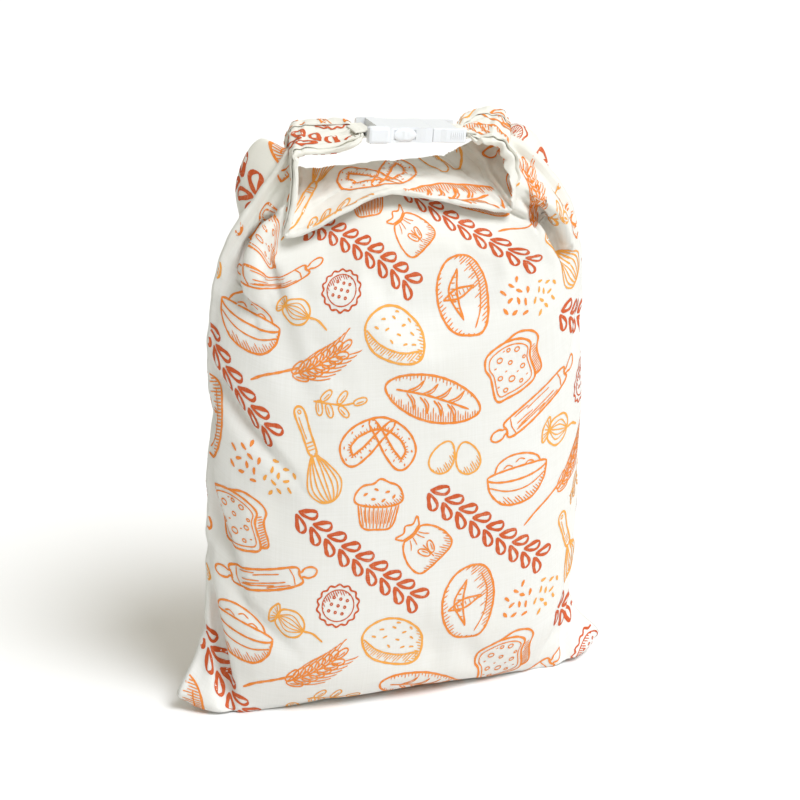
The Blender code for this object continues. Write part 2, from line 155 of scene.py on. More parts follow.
# side (-1 front, 1 back), place across and up, spread across and up, push along x, y, z
BULGES = np.array([
    [1, -0.78, 422, 0.18, 32, -19, 12, 7],
    [1, -0.92, 438, 0.11, 22, -3, 6, 16],
    [-1, 0.84, 404, 0.15, 30, -3, -6, 6],
    [1, 0.8, 432, 0.2, 34, 0, 18, 14],
    [1, 0.92, 424, 0.13, 28, 14, 6, 1],
    [-1, -0.8, 364, 0.075, 24, -1, -8, 1],
], float)
# Bulges and the seams' ridge fade out within this length of the roll, and bulges within
# this share of the way across from the seams
ENTRY_CLEAR = 14.0
BULGE_CLEAR = 0.12

# side, both ends (across, up), half width and depth of the hollow
FOLDS = np.array([
    [-1, -0.84, 430, -0.91, 394, 0.022, 6],
    [-1, -0.91, 404, -0.88, 350, 0.026, 7],
    [-1, -0.7, 392, -0.69, 345, 0.04, 3.5],
    [-1, -0.88, 338, -0.7, 332, 0.034, 3],
    [-1, 0.62, 438, 0.77, 408, 0.03, 6],
    [-1, 0.76, 416, 0.83, 350, 0.034, 6],
    [-1, 0.92, 448, 0.86, 415, 0.02, 3],
    [1, -0.66, 425, -0.84, 350, 0.034, 6],
    [1, 0.66, 425, 0.86, 345, 0.034, 7],
    [1, -0.2, 435, -0.34, 370, 0.04, 3],
    [1, 0.24, 435, 0.36, 375, 0.04, 3],
    [-1, -0.97, 95, -0.8, 22, 0.04, 6],
    [-1, 0.97, 90, 0.82, 20, 0.04, 5],
    [1, -0.96, 90, -0.82, 24, 0.04, 5],
    [1, 0.96, 95, 0.8, 22, 0.04, 5],
], float)

# Sharper creases in those folds, and softer ones lower down: the same, with a width for
# each side of the line, towards the left and towards the right. A ridge has a depth below 0.
CREASES = np.array([
    [-1, -0.895, 440, -0.905, 402, 0.014, 0.03, 6],
    [-1, -0.905, 408, -0.925, 366, 0.013, 0.028, 12],
    [-1, -0.92, 376, -0.94, 334, 0.014, 0.045, 6],
    [-1, -0.845, 428, -0.835, 352, 0.022, 0.06, -8],
    [-1, -0.905, 384, -0.866, 338, 0.06, 0.018, 5],
    [-1, -0.874, 346, -0.77, 326, 0.05, 0.022, 4],
    [-1, -0.69, 400, -0.65, 350, 0.02, 0.034, 4],
    [-1, 0.77, 438, 0.78, 410, 0.03, 0.016, 7],
    [-1, 0.78, 414, 0.8, 380, 0.028, 0.016, 9],
    [-1, 0.8, 384, 0.85, 346, 0.04, 0.02, 6],
    [-1, 0.73, 426, 0.69, 404, 0.01, 0.024, 3.4],
    [-1, 0.92, 446, 0.935, 412, 0.012, 0.016, 5],
    [-1, 0.835, 426, 0.875, 360, 0.02, 0.06, -8.5],
    [-1, -0.99, 272, -0.72, 244, 0.07, 0.032, 6],
    [-1, -0.76, 250, -0.54, 220, 0.06, 0.03, 3.4],
    [-1, -0.99, 186, -0.8, 128, 0.09, 0.036, 6],
    [-1, -0.98, 110, -0.85, 44, 0.06, 0.034, 7],
    [-1, -0.86, 124, -0.54, 88, 0.05, 0.034, 2.2],
    [-1, 0.94, 126, 0.7, 40, 0.05, 0.06, 3],
    [-1, 0.95, 300, 0.78, 262, 0.05, 0.06, 2.2],
    [-1, 0.3, 60, 0.62, 34, 0.06, 0.06, 1.6],
    [1, -0.9, 280, -0.6, 220, 0.06, 0.09, 4],
    [1, 0.9, 290, 0.56, 236, 0.06, 0.09, 4],
    [1, -0.86, 110, -0.56, 40, 0.05, 0.07, 3.5],
    [1, 0.86, 110, 0.56, 40, 0.05, 0.07, 3.5],
], float)
# Folds fade out within this share of the way across from the seams, and within this length
# of the roll. A fold is as deep at its ends as a half wave at this share of its length, and
# a ridge leans to the left by this share of its height.
FOLD_CLEAR = 0.06
ROLL_CLEAR = 20.0
FOLD_ENDS = 0.15
RIDGE_LEAN = -0.7

# The piped side seams: the ridge's height, how much higher it gets in the wings, from
# which length up and over which stretch, its width, the hollow beside it as a share, with
# its place and width, and the pucker's height, width and wavelengths
SEAM_RIDGE = 1.4
SEAM_CREST = 3.2
CREST_FROM = 340.0
CREST_OVER = 40.0
RIDGE_WIDTH = 2.6
SEAM_HOLLOW = 0.4
HOLLOW_PLACE = 6.0
HOLLOW_WIDTH = 3.0
SEAM_PUCKER = 0.55
PUCKER_WIDTH = 11.0
PUCKER_LENGTHS = (21.0, 34.0, 55.0)


def smooth_step(x):
    """0 to 1 as 3x^2 - 2x^3."""
    x = np.clip(x, 0.0, 1.0)
    return x * x * (3.0 - 2.0 * x)


def fade(x, start, length):
    """0 to 1 on a smooth step from start on."""
    return smooth_step((x - start) / length)


def bell(x):
    """A bell-shaped curve, e to the power -x^2."""
    return np.exp(-(x ** 2))


def unit(vectors):
    """The vectors' directions, with length 1."""
    return vectors / np.maximum(np.linalg.norm(vectors, axis=-1, keepdims=True), 1e-9)


def run_along(points):
    """Each point's distance from the first, along the line of points."""
    return np.concatenate([[0.0], np.cumsum(np.linalg.norm(np.diff(points, axis=0), axis=-1))])


def cubic(u, start, leave, end, arrive):
    """The cubic h00 start + h10 leave + h01 end + h11 arrive at u from 0 to 1."""
    return (
        (1 + 2 * u) * (1 - u) ** 2 * start
        + u * (1 - u) ** 2 * leave
        + u * u * (3 - 2 * u) * end
        + u * u * (u - 1) * arrive
    )


def waves(x, lengths, seed):
    """A soft uneven line: a sum of sines of these wavelengths, each with its own start."""
    total = 0.0
    for n, length in enumerate(lengths):
        total = total + np.sin(2 * np.pi * x / length + 2.4 * seed + 1.7 * n * n)
    return total / len(lengths)


def column(name, up):
    """A column of SECTIONS at these lengths up the cloth, on a cubic that doesn't
    overshoot the rows."""
    x = SECTIONS[:, 0]
    y = SECTIONS[:, SECTION_COLUMNS.index(name)]
    step = np.diff(x)
    slope = np.diff(y) / step
    both = slope[:-1] + slope[1:]
    inner = 2.0 * slope[:-1] * slope[1:] / np.where(both == 0.0, 1.0, both)
    inner = np.where(slope[:-1] * slope[1:] > 0.0, inner, 0.0)
    lead = np.concatenate([slope[:1], inner, slope[-1:]])
    i = np.clip(np.searchsorted(x, up, side="right") - 1, 0, len(x) - 2)
    u = (up - x[i]) / step[i]
    return cubic(u, y[i], step[i] * lead[i], y[i + 1], step[i] * lead[i + 1])


def quarter(away, half, depth, square, flank):
    """x and y on a quarter of |x/half|^square + |y/depth|^flank = 1, by its length:
    away 0 is the middle of the panel and 1 is the seam."""
    turn = np.linspace(0.0, np.pi / 2, 400)
    x = half * np.sin(turn) ** (2.0 / square)
    y = depth * np.cos(turn) ** (2.0 / flank)
    length = run_along(np.stack([x, y], axis=-1))
    length = length / length[-1]
    return np.interp(away, length, x), np.interp(away, length, y)


def level_rows(across, ups, side):
    """Rows of points round one panel of the filled part, by the table of sections. The
    cloth's height goes from the middle's to the seam's as a power of the way across,
    and an ear's swing is a bell across that fades out upwards."""
    left, right, front, back, middle, seam, level, square, flank = (
        column(name, ups) for name in SECTION_COLUMNS[1:]
    )
    depth = front if side < 0 else back
    away = np.abs(across)
    on_left, on_right = (
        np.array([quarter(away, *row) for row in zip(half, depth, power, flank)])
        for half, power in ((left, LEFT_ROUNDER * square), (right, square))
    )
    x = np.where(across < 0, -on_left[:, 0], on_right[:, 0])
    y = np.where(across < 0, on_left[:, 1], on_right[:, 1]) * side
    level = level[:, None]
    rise = np.clip((away - level) / (1 - level), 0.0, 1.0) ** SEAM_RISE
    swing = EAR_FORWARD * bell((away - EAR_PLACE) / EAR_SPREAD)
    y = y - swing * smooth_step(1 - ups / EAR_TALL)[:, None]
    z = middle[:, None] + (seam - middle)[:, None] * rise
    return np.stack([x, y, z], axis=-1)


def along_rows(table, at):
    """A smooth curve through the rows of a table: the cubic between two rows takes its
    leads from the rows on both sides of them."""
    i = np.clip(at.astype(int), 0, len(table) - 2)
    u = (at - i)[:, None]
    before = table[np.maximum(i - 1, 0)]
    start = table[i]
    end = table[i + 1]
    after = table[np.minimum(i + 2, len(table) - 1)]
    second = 2 * before - 5 * start + 4 * end - after
    third = 3 * (start - end) + after - before
    return start + 0.5 * u * (end - before + u * (second + u * third))


def roll_line(across, side):
    """The line where a panel enters the roll, and the roll's direction from front to
    back there: nearly at its back edge under the loop's base, apart to front and back
    in the posts, where the bag's wings open, and together again at the side seams."""
    at = np.linspace(*(FRONT_ROWS if side < 0 else BACK_ROWS), 240)
    edges = along_rows(ROLL, at)
    run = run_along(0.5 * (edges[:, :3] + edges[:, 3:]))
    edges = along_rows(ROLL, np.interp(0.5 * (across + 1) * run[-1], run, at))
    away = np.abs(across)
    turned = fade(away, *TO_POST)
    wing = turned * (1 - fade(away, *TO_SEAM))
    behind = (BASE_BEHIND + BASE_APART * side) * (1 - turned)
    share = 0.5 + side * (SEAM_APART + WING_APART * wing) + behind
    wide = edges[:, 3:] - edges[:, :3]
    return edges[:, :3] + share[:, None] * wide, unit(wide)


def outward(grid, side):
    """The cloth's outward direction at each point of a grid of rows and columns."""
    return unit(np.cross(np.gradient(grid, axis=1), np.gradient(grid, axis=0)) * -side)


def panel(side):
    """One panel of the bag as a grid of points, GRID apart on the flat cloth: sections
    up to the shoulder, then a cubic from the shoulder's row to the roll's line. On top
    come the bulges, the folds, and along the seams a bell-shaped ridge with a hollow
    inside it and the pucker's waves."""
    across = np.linspace(-1.0, 1.0, int(2 * HALF_FLAT / GRID) + 1)
    ups = np.linspace(0.0, CLOTH_LENGTH, int(CLOTH_LENGTH / GRID) + 1)
    filled = ups[ups <= SHOULDER_LENGTH]
    upper = ups[ups > SHOULDER_LENGTH]
    below, shoulder = level_rows(across, np.array([SHOULDER_LENGTH - 1, SHOULDER_LENGTH]), side)
    entry, wide = roll_line(across, side)
    wing = fade(np.abs(across), *TO_ENDS)[:, None]
    under = unit(wide + np.array([0.0, 0.0, FRONT_STEEP]))
    middle = np.insert(under, 3, FRONT_REACH, axis=1) if side < 0 else np.array(BACK_LEAD)
    ends = np.where(across[:, None] < 0, np.array(LEFT_LEAD), np.array(RIGHT_LEAD))
    lead = middle * (1 - wing) + ends * wing
    arrive = lead[:, :3] * lead[:, 3:]
    leave = unit(shoulder - below) * lead[:, 3:]
    share = ((upper - SHOULDER_LENGTH) / (CLOTH_LENGTH - SHOULDER_LENGTH))[:, None, None]
    top = cubic(share, shoulder, leave, entry, arrive)
    grid = np.concatenate([level_rows(across, filled, side), top])
    place, height = np.meshgrid(across, ups)
    at_seam = smooth_step((1 - np.abs(place)) / BULGE_CLEAR)
    at_roll = smooth_step((CLOTH_LENGTH - height) / ENTRY_CLEAR)
    for _, a, up, wide, tall, *push in BULGES[BULGES[:, 0] == side]:
        swell = bell((place - a) / wide) * bell((height - up) / tall)
        grid = grid + (swell * at_seam * at_roll)[..., None] * np.array(push)
    even_folds = FOLDS[:, [0, 1, 2, 3, 4, 5, 5, 6]]
    for folds in (even_folds, CREASES):
        grid = with_folds(grid, place, height, side, folds[folds[:, 0] == side])
    from_seam = (1 - np.abs(place)) * HALF_FLAT
    pucker = SEAM_PUCKER * waves(height + 0.8 * from_seam, PUCKER_LENGTHS, np.sign(place))
    crest = SEAM_RIDGE + SEAM_CREST * fade(height, CREST_FROM, CREST_OVER)
    hollow = SEAM_HOLLOW * bell((from_seam - HOLLOW_PLACE) / HOLLOW_WIDTH)
    ridge = crest * (bell(from_seam / RIDGE_WIDTH) - hollow) + pucker * bell(from_seam / PUCKER_WIDTH)
    return grid + (ridge * at_roll)[..., None] * outward(grid, side)


def with_folds(grid, place, height, side, folds):
    """Hollows with a bell-shaped section along straight lines of the flat cloth, each
    deepest halfway along its line."""
    normal = outward(grid, side)
    held = smooth_step((1 - np.abs(place)) / FOLD_CLEAR)
    held = held * smooth_step((CLOTH_LENGTH - height) / ROLL_CLEAR)
    to_right = unit(np.gradient(grid, axis=1))
    for _, across_1, up_1, across_2, up_2, left, right, depth in folds:
        run = np.array([(across_2 - across_1) * HALF_FLAT, up_2 - up_1])
        from_start = np.stack([(place - across_1) * HALF_FLAT, height - up_1], axis=-1)
        along = np.clip(from_start @ run / (run @ run), 0.0, 1.0)
        off = np.linalg.norm(from_start - along[..., None] * run, axis=-1)
        turned = (run[0] * from_start[..., 1] - run[1] * from_start[..., 0]) * np.sign(run[1])
        width = np.where(turned > 0, left, right)
        shallow = np.sin(np.pi * (FOLD_ENDS + (1 - 2 * FOLD_ENDS) * along))
        hollow = bell(off / (width * HALF_FLAT)) * shallow
        lean = RIDGE_LEAN * (depth < 0)
        grid = grid - (depth * hollow * held)[..., None] * (normal + lean * to_right)
    return grid


def mesh_piece(name, points, faces, uv=None):
    """An object from whole arrays: points in millimetres, faces of four corners, and
    a place on the flat cloth for every corner of every face."""
    mesh = bpy.data.meshes.new(name)
    mesh.vertices.add(len(points))
    mesh.vertices.foreach_set("co", (points * MM).astype(np.float32).ravel())
    mesh.loops.add(faces.size)
    mesh.loops.foreach_set("vertex_index", faces.ravel().astype(np.int32))
    mesh.polygons.add(len(faces))
    mesh.polygons.foreach_set("loop_start", np.arange(0, faces.size, 4, dtype=np.int32))
    mesh.polygons.foreach_set("use_smooth", np.full(len(faces), True))
    if uv is not None:
        layer = mesh.uv_layers.new(name="cloth")
        layer.data.foreach_set("uv", (uv * MM).astype(np.float32).ravel())
    mesh.update(calc_edges=True)
    mesh.validate()
    made = bpy.data.objects.new(name, mesh)
    bpy.context.scene.collection.objects.link(made)
    return made


# Front and back panel meet halfway at the side seams and at the bottom fold
cloth = np.stack([panel(-1), panel(1)])
cloth[:, :, [0, -1]] = cloth[:, :, [0, -1]].mean(axis=0)
cloth[:, 0] = cloth[:, 0].mean(axis=0)


def bag_mesh(name, cloth):
    """Front and back grids joined at the seams and at the fold, as a tube of rings."""
    rows, columns = cloth.shape[1:3]
    last = columns - 1
    ring = 2 * last
    points = np.concatenate([cloth[0], cloth[1][:, -2:0:-1]], axis=1).reshape(-1, 3)
    i, k = np.meshgrid(np.arange(rows - 1), np.arange(ring), indexing="ij")
    corners = np.stack([
        np.stack([i, k], -1),
        np.stack([i, k + 1], -1),
        np.stack([i + 1, k + 1], -1),
        np.stack([i + 1, k], -1),
    ], axis=2).reshape(-1, 4, 2)
    row = corners[..., 0]
    around = corners[..., 1]
    on_back = (around.min(axis=1) >= last)[:, None]
    across = np.where(on_back, ring - around, around)
    step = 2 * HALF_FLAT / last
    up = row * CLOTH_LENGTH / (rows - 1)
    uv = np.stack([across * step - HALF_FLAT, np.where(on_back, -up, up)], axis=-1)
    turned = np.where((row == 0) & (around % ring > last), ring - around, around % ring)
    return mesh_piece(name, points, row * ring + turned, uv.reshape(-1, 2))


# Cloth wrinkles where it is longer than the way it has to go, so a short simulation with
# the cloth a little longer than its shape finds the wrinkles of the seams and corners. It
# has every second point of the grid, is held above a length up the cloth, and runs for this
# many frames.
COARSE = 2
EXTRA_LENGTH = 0.016
HELD_ABOVE = 396.0
SETTLE_FRAMES = 16
CANVAS = {
    "quality": 6,
    "mass": 0.15,
    "tension_stiffness": 15.0,
    "compression_stiffness": 15.0,
    "shear_stiffness": 8.0,
    "bending_stiffness": 0.6,
    "tension_damping": 8.0,
    "compression_damping": 8.0,
    "shear_damping": 8.0,
    "bending_damping": 0.8,
    "air_damping": 2.0,
    "use_pressure": True,
    "uniform_pressure_force": 0.5,
    "shrink_min": -EXTRA_LENGTH,
}
# Of its movement the broad part, found by easing it this often round and up, is taken by
# the first share, and the fine part by the second, both up to this many millimetres. It
# fades out over these lengths above the fold and below the last one.
BROAD_EASE = (6, 260)
BROAD_SHARE = 0.15
FINE_SHARE = 1.5
MOST_MOVE = 5.0
STILL_AT_FOLD = 8.0
STILL_BELOW_ROLL = 70.0
STILL_ABOVE = 412.0
# How softly the cloth comes down on the floor
FLOOR_REST = 0.8


def eased(field, around, up):
    """Each value mixed with the two beside it in quarters, this often round the rings
    and up them."""
    for _ in range(around):
        field = 0.5 * field + 0.25 * (np.roll(field, 1, axis=1) + np.roll(field, -1, axis=1))
    for _ in range(up):
        beyond = np.concatenate([field[:1], field, field[-1:]])
        field = 0.5 * field + 0.25 * (beyond[:-2] + beyond[2:])
    return field


def settled(cloth):
    """How far a cloth simulation moves each point of the rings: every second row and
    column, held at the fold and above the shoulders, under a light pressure."""
    coarse = cloth[:, ::COARSE, ::COARSE]
    rows, columns = coarse.shape[1:3]
    ring = 2 * (columns - 1)
    trial = bag_mesh("settling_cloth", coarse)
    held = trial.vertex_groups.new(name="held")
    row = np.arange(rows * ring) // ring
    up = row * COARSE * CLOTH_LENGTH / (cloth.shape[1] - 1)
    held.add(np.flatnonzero((row == 0) | (up > HELD_ABOVE)).tolist(), 1.0, "REPLACE")
    fabric = trial.modifiers.new("cloth", "CLOTH").settings
    for setting, value in CANVAS.items():
        setattr(fabric, setting, value)
    fabric.vertex_group_mass = "held"
    fabric.effector_weights.gravity = 0.0
    trial.modifiers["cloth"].collision_settings.use_collision = False
    before = np.empty(len(row) * 3, np.float32)
    trial.data.vertices.foreach_get("co", before)
    for number in range(1, SETTLE_FRAMES + 1):
        bpy.context.scene.frame_set(number)
    after = np.empty(len(row) * 3, np.float32)
    graph = bpy.context.evaluated_depsgraph_get()
    trial.evaluated_get(graph).data.vertices.foreach_get("co", after)
    bpy.data.meshes.remove(trial.data)
    bpy.context.scene.frame_set(1)
    return ((after - before) / MM).reshape(rows, ring, 3)


def wrinkled(cloth):
    """The grids with the simulation's movement on them: a share of its broad part, a
    share of its fine part, and none of it more than MOST_MOVE. Points that weren't in
    the simulation move as far as those beside them."""
    moved = settled(cloth)
    broad = eased(moved, *BROAD_EASE)
    moved = BROAD_SHARE * broad + FINE_SHARE * (eased(moved, 1, 1) - broad)
    length = np.linalg.norm(moved, axis=-1, keepdims=True)
    moved = moved * np.minimum(1.0, MOST_MOVE / np.maximum(length, 1e-9))
    rows = np.minimum(np.arange(cloth.shape[1]) / COARSE, len(moved) - 1.001)
    part = (rows % 1)[:, None, None]
    moved = moved[rows.astype(int)] * (1 - part) + moved[rows.astype(int) + 1] * part
    beside = 0.5 * (moved + np.roll(moved, -1, axis=1))
    moved = np.stack([moved, beside], axis=2).reshape(len(rows), -1, 3)
    up = np.linspace(0.0, CLOTH_LENGTH, len(rows))[:, None, None]
    moved = eased(moved, 2, 2) * smooth_step(up / STILL_AT_FOLD)
    moved = moved * smooth_step((STILL_ABOVE - up) / STILL_BELOW_ROLL)
    last = cloth.shape[2] - 1
    back = np.concatenate([moved[:, :1], moved[:, :last:-1], moved[:, last:last + 1]], axis=1)
    return cloth + np.stack([moved[:, :last + 1], back])


cloth = wrinkled(cloth)
# No point goes below the floor: z becomes half of z and the root of z^2 + FLOOR_REST^2
cloth[..., 2] = 0.5 * (cloth[..., 2] + np.hypot(cloth[..., 2], FLOOR_REST))
cloth_out = np.stack([outward(cloth[0], -1), outward(cloth[1], 1)])

bag = bag_mesh("bag_cloth", cloth)
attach(bag, "root")
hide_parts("bag")


def node(tree, kind, *inputs, **settings):
    """Adds a shader node, sets its properties, and fills its inputs in order with
    values or with the outputs of other nodes."""
    made = tree.nodes.new("ShaderNode" + kind)
    for key, value in settings.items():
        setattr(made, key, value)
    for socket, value in zip(made.inputs, inputs):
        if isinstance(value, bpy.types.NodeSocket):
            tree.links.new(value, socket)
        elif value is not None:
            socket.default_value = value
    return made


def maths(tree, operation, *inputs):
    """One step of arithmetic."""
    return node(tree, "Math", *inputs, operation=operation).outputs[0]


THREAD_PITCH = 0.00062


def canvas_group():
    """Plain weave on the flat cloth: each thread is a rounded ridge that goes over one
    thread and under the next, h = max(.6|sin x| + .4 sin y sign sin x, the same with x
    and y changed over). The threads wander, and long streaks of noise along them, slubs,
    make them uneven. It puts out a height and a tone."""
    tree = bpy.data.node_groups.new("canvas weave", "ShaderNodeTree")
    tree.interface.new_socket("Place", in_out="INPUT", socket_type="NodeSocketVector")
    tree.interface.new_socket("Height", in_out="OUTPUT", socket_type="NodeSocketFloat")
    tree.interface.new_socket("Tone", in_out="OUTPUT", socket_type="NodeSocketFloat")
    place = tree.nodes.new("NodeGroupInput").outputs[0]
    result = tree.nodes.new("NodeGroupOutput")
    noise = node(tree, "TexNoise", place, None, 90.0, 2.0).outputs[0]
    wander = maths(tree, "MULTIPLY", noise, 5.0)
    split = node(tree, "SeparateXYZ", place)
    waved = []
    for axis in (0, 1):
        turn = maths(tree, "MULTIPLY_ADD", split.outputs[axis], np.pi / THREAD_PITCH, wander)
        waved.append(maths(tree, "SINE", turn))
    ridges = []
    for along, other, way in ((0, 1, 0.4), (1, 0, -0.4)):
        over = maths(tree, "MULTIPLY", waved[other], maths(tree, "SIGN", waved[along]))
        ridge = maths(tree, "MULTIPLY", maths(tree, "ABSOLUTE", waved[along]), 0.6)
        ridges.append(maths(tree, "MULTIPLY_ADD", over, way, ridge))
    weave = maths(tree, "MAXIMUM", *ridges)
    slubs = []
    for wide, tall in ((900.0, 22.0), (22.0, 900.0)):
        stretched = node(tree, "Mapping", place, None, None, (wide, tall, 1.0)).outputs[0]
        slubs.append(node(tree, "TexNoise", stretched, None, 1.0, 2.0).outputs[0])
    threads = maths(tree, "ADD", slubs[0], slubs[1])
    height = maths(tree, "MULTIPLY_ADD", threads, 0.35, weave)
    tree.links.new(height, result.inputs[0])
    tree.links.new(maths(tree, "MULTIPLY", threads, 0.5), result.inputs[1])
    return tree


canvas = canvas_group()


def material(name, roughness):
    """A new material with its shader node."""
    made = bpy.data.materials.new(name)
    made.use_nodes = True
    shader = made.node_tree.nodes["Principled BSDF"]
    shader.inputs["Roughness"].default_value = roughness
    return made, made.node_tree, shader


def bumped(tree, shader, height, strength, distance):
    """Gives a shader a bump of this height, and a distance in metres."""
    bump = node(tree, "Bump")
    bump.inputs["Strength"].default_value = strength
    bump.inputs["Distance"].default_value = distance
    tree.links.new(height, bump.inputs["Height"])
    tree.links.new(bump.outputs[0], shader.inputs["Normal"])


def woven(tree, shader, depth):
    """Gives a shader the canvas's bump, and returns the weave's group node."""
    flat = node(tree, "UVMap", uv_map="cloth").outputs[0]
    weave = tree.nodes.new("ShaderNodeGroup")
    weave.node_tree = canvas
    tree.links.new(flat, weave.inputs[0])
    bumped(tree, shader, weave.outputs["Height"], 0.6, depth)
    return weave


def mixed(tree, share, first, second):
    """A colour between two others, which a Mix node takes as its sixth and seventh input
    after the share."""
    return node(tree, "Mix", share, *[None] * 5, first, second, data_type="RGBA").outputs[2]


# Painted warm shade: the cloth's colour gets warmer from the first of these heights to the
# second, standing in for the warm shade in the folds near the roll
PAINTED_WARM_SHADE_FROM = 0.31
PAINTED_WARM_SHADE_TO = 0.41


def cotton_canvas():
    """Waxed natural cotton: pale, a little warm, with faint uneven threads, a soft
    mottle of wax, rare darker flecks, and a painted warm shade that grows towards the roll."""
    made, tree, shader = material("waxed cotton canvas", 0.68)
    weave = woven(tree, shader, 0.00012)
    place = node(tree, "TexCoord").outputs["Object"]
    mottle = node(tree, "TexNoise", place, None, 28.0, 3.0, 0.55).outputs[0]
    threads = node(tree, "MapRange", weave.outputs["Tone"], 0.36, 0.64, 0.0, 1.0).outputs[0]
    plain = mixed(tree, threads, (0.755, 0.755, 0.728, 1), (0.795, 0.798, 0.780, 1))
    warm = node(tree, "MapRange", mottle, 0.35, 0.75, 0.0, 0.35).outputs[0]
    tinted = mixed(tree, warm, plain, (0.785, 0.775, 0.725, 1))
    # Painted warm shade: the colour turns warmer with height towards the roll, for the warm shade there
    height = node(tree, "SeparateXYZ", place).outputs["Z"]
    waxed_and_painted_warm_shade = node(tree, "MapRange", height, PAINTED_WARM_SHADE_FROM, PAINTED_WARM_SHADE_TO, 0.0, 0.6).outputs[0]
    tinted = mixed(tree, waxed_and_painted_warm_shade, tinted, (0.805, 0.785, 0.69, 1))
    specks = node(tree, "TexNoise", place, None, 900.0, 1.0).outputs[0]
    fleck = node(tree, "MapRange", specks, 0.78, 0.84, 0.0, 0.5).outputs[0]
    tree.links.new(mixed(tree, fleck, tinted, (0.52, 0.44, 0.33, 1)), shader.inputs["Base Color"])
    shader.inputs["Sheen Weight"].default_value = 0.12
    shader.inputs["Sheen Roughness"].default_value = 0.5
    shader.inputs["Specular IOR Level"].default_value = 0.35
    return made


bag.data.materials.append(cotton_canvas())

# Rolled mouth: both layers of the bag's cloth together, the hem at the free edge,
# folded back and forth into three flat plies with the bag's cloth lapped round the
# back edge. Bent up at both ends, it makes the base and the posts of the loop.

# Thickness of a ply, heights of the three plies and of the lap in the roll's section,
# points on a flat ply, and sections for each row of ROLL
PLY = 1.0
PLY_HEIGHTS = (1.55, 0.4, -0.75)
LAP_HEIGHT = -1.9
PLY_POINTS = 34
ROLL_STATIONS = 17


def arc(x, y, radius, start, stop, count=7):
    """Points on part of a circle, in degrees."""
    angle = np.radians(np.linspace(start, stop, count))
    return np.stack([x + radius * np.cos(angle), y + radius * np.sin(angle)], axis=-1)


def ply_path(half):
    """The middle line of the folded cloth in section, from the lap under the back edge
    to the hem: round the back, over the top ply to the front fold, back along the
    middle ply, and forwards again to the hem. It is made of half circles and straight
    stretches. x is -half at the front, and the lap goes 9 in under the roll."""
    top, middle, under = PLY_HEIGHTS
    back = 0.5 * (top - LAP_HEIGHT)
    tight = 0.5 * (top - middle)
    lap = half - back - 0.5 * PLY
    front = -(half - tight - 0.5 * PLY)
    inner = half - 2 * back - tight
    flat = np.linspace(0.0, 1.0, PLY_POINTS)[:, None]
    parts = [
        np.array([[lap - 9.0, LAP_HEIGHT - 0.2], [lap - 4.0, LAP_HEIGHT]]),
        arc(lap, 0.5 * (top + LAP_HEIGHT), back, -90, 90, 11),
        np.array([lap, top]) * (1 - flat[1:-1]) + np.array([front, top]) * flat[1:-1],
        arc(front, 0.5 * (top + middle), tight, 90, 270),
        np.array([front, middle]) * (1 - flat[1:-1:3]) + np.array([inner, middle]) * flat[1:-1:3],
        arc(inner, 0.5 * (middle + under), tight, 90, -90),
        np.array([inner, under]) * (1 - flat[1:]) + np.array([front + 2.4, under]) * flat[1:],
    ]
    return np.concatenate(parts)


# The section's points from the lap to the front fold, and on the under ply
TOP_PLY = slice(0, 48)
UNDER_PLY = slice(67, 100)


def ply_sides(half):
    """Both faces of the folded cloth in section: its middle line moved half its
    thickness to both sides, thinning to a round hem at each end."""
    path = ply_path(half)
    along = unit(np.gradient(path, axis=0))
    thick = np.full((len(path), 1), 0.5 * PLY)
    thick[[0, -1]] *= 0.4
    thick[[1, -2]] *= 0.85
    out = np.stack([along[:, 1], -along[:, 0]], axis=-1) * thick
    return path + out, path - out


stations = np.linspace(1.0, len(ROLL) - 2.0, (len(ROLL) - 3) * ROLL_STATIONS + 1)
roll_edges = along_rows(ROLL, stations)
roll_middle = 0.5 * (roll_edges[:, :3] + roll_edges[:, 3:])
roll_wide = roll_edges[:, 3:] - roll_edges[:, :3]
roll_half = 0.5 * np.linalg.norm(roll_wide, axis=-1)
roll_wide = unit(roll_wide)
roll_up = unit(np.cross(np.gradient(roll_middle, axis=0), roll_wide))
roll_run = run_along(roll_middle)


# Where the edge of a loose fold of the top ply crosses the loop's base: row of ROLL, share
# of the roll's width from its front edge, and height of the fold
LOOSE_FOLD = np.array([
    [9.6, 0.05, 0],
    [11, 0.16, 0.7],
    [12.2, 0.34, 1.2],
    [14, 0.52, 1.3],
    [16, 0.6, 1.1],
    [18, 0.72, 0.8],
    [19.6, 0.86, 0],
], float)

# The front fold's swell along the right post: row of ROLL, height, width
POST_BEAD = np.array([
    [19.2, 0.8, 2.4],
    [20.6, 2, 3.2],
    [22, 2.5, 3.6],
    [24, 2, 3.2],
    [25.6, 0.8, 2.4],
], float)
# Depth of the groove behind the front fold, and how far the groove and the middle of the
# bead are from the roll's front edge
GROOVE = 0.9
GROOVE_PLACE = 6.4
BEAD_PLACE = 2.3
# The crease across the roll's right corner: its place along the roll, its slope, its depth
CORNER_CREASE = (233.5, 0.07, 2.6)


def by_station(table, column):
    """A column of a table by rows of ROLL, at each of the roll's sections."""
    return np.interp(stations, table[:, 0], table[:, column])[:, None, None]


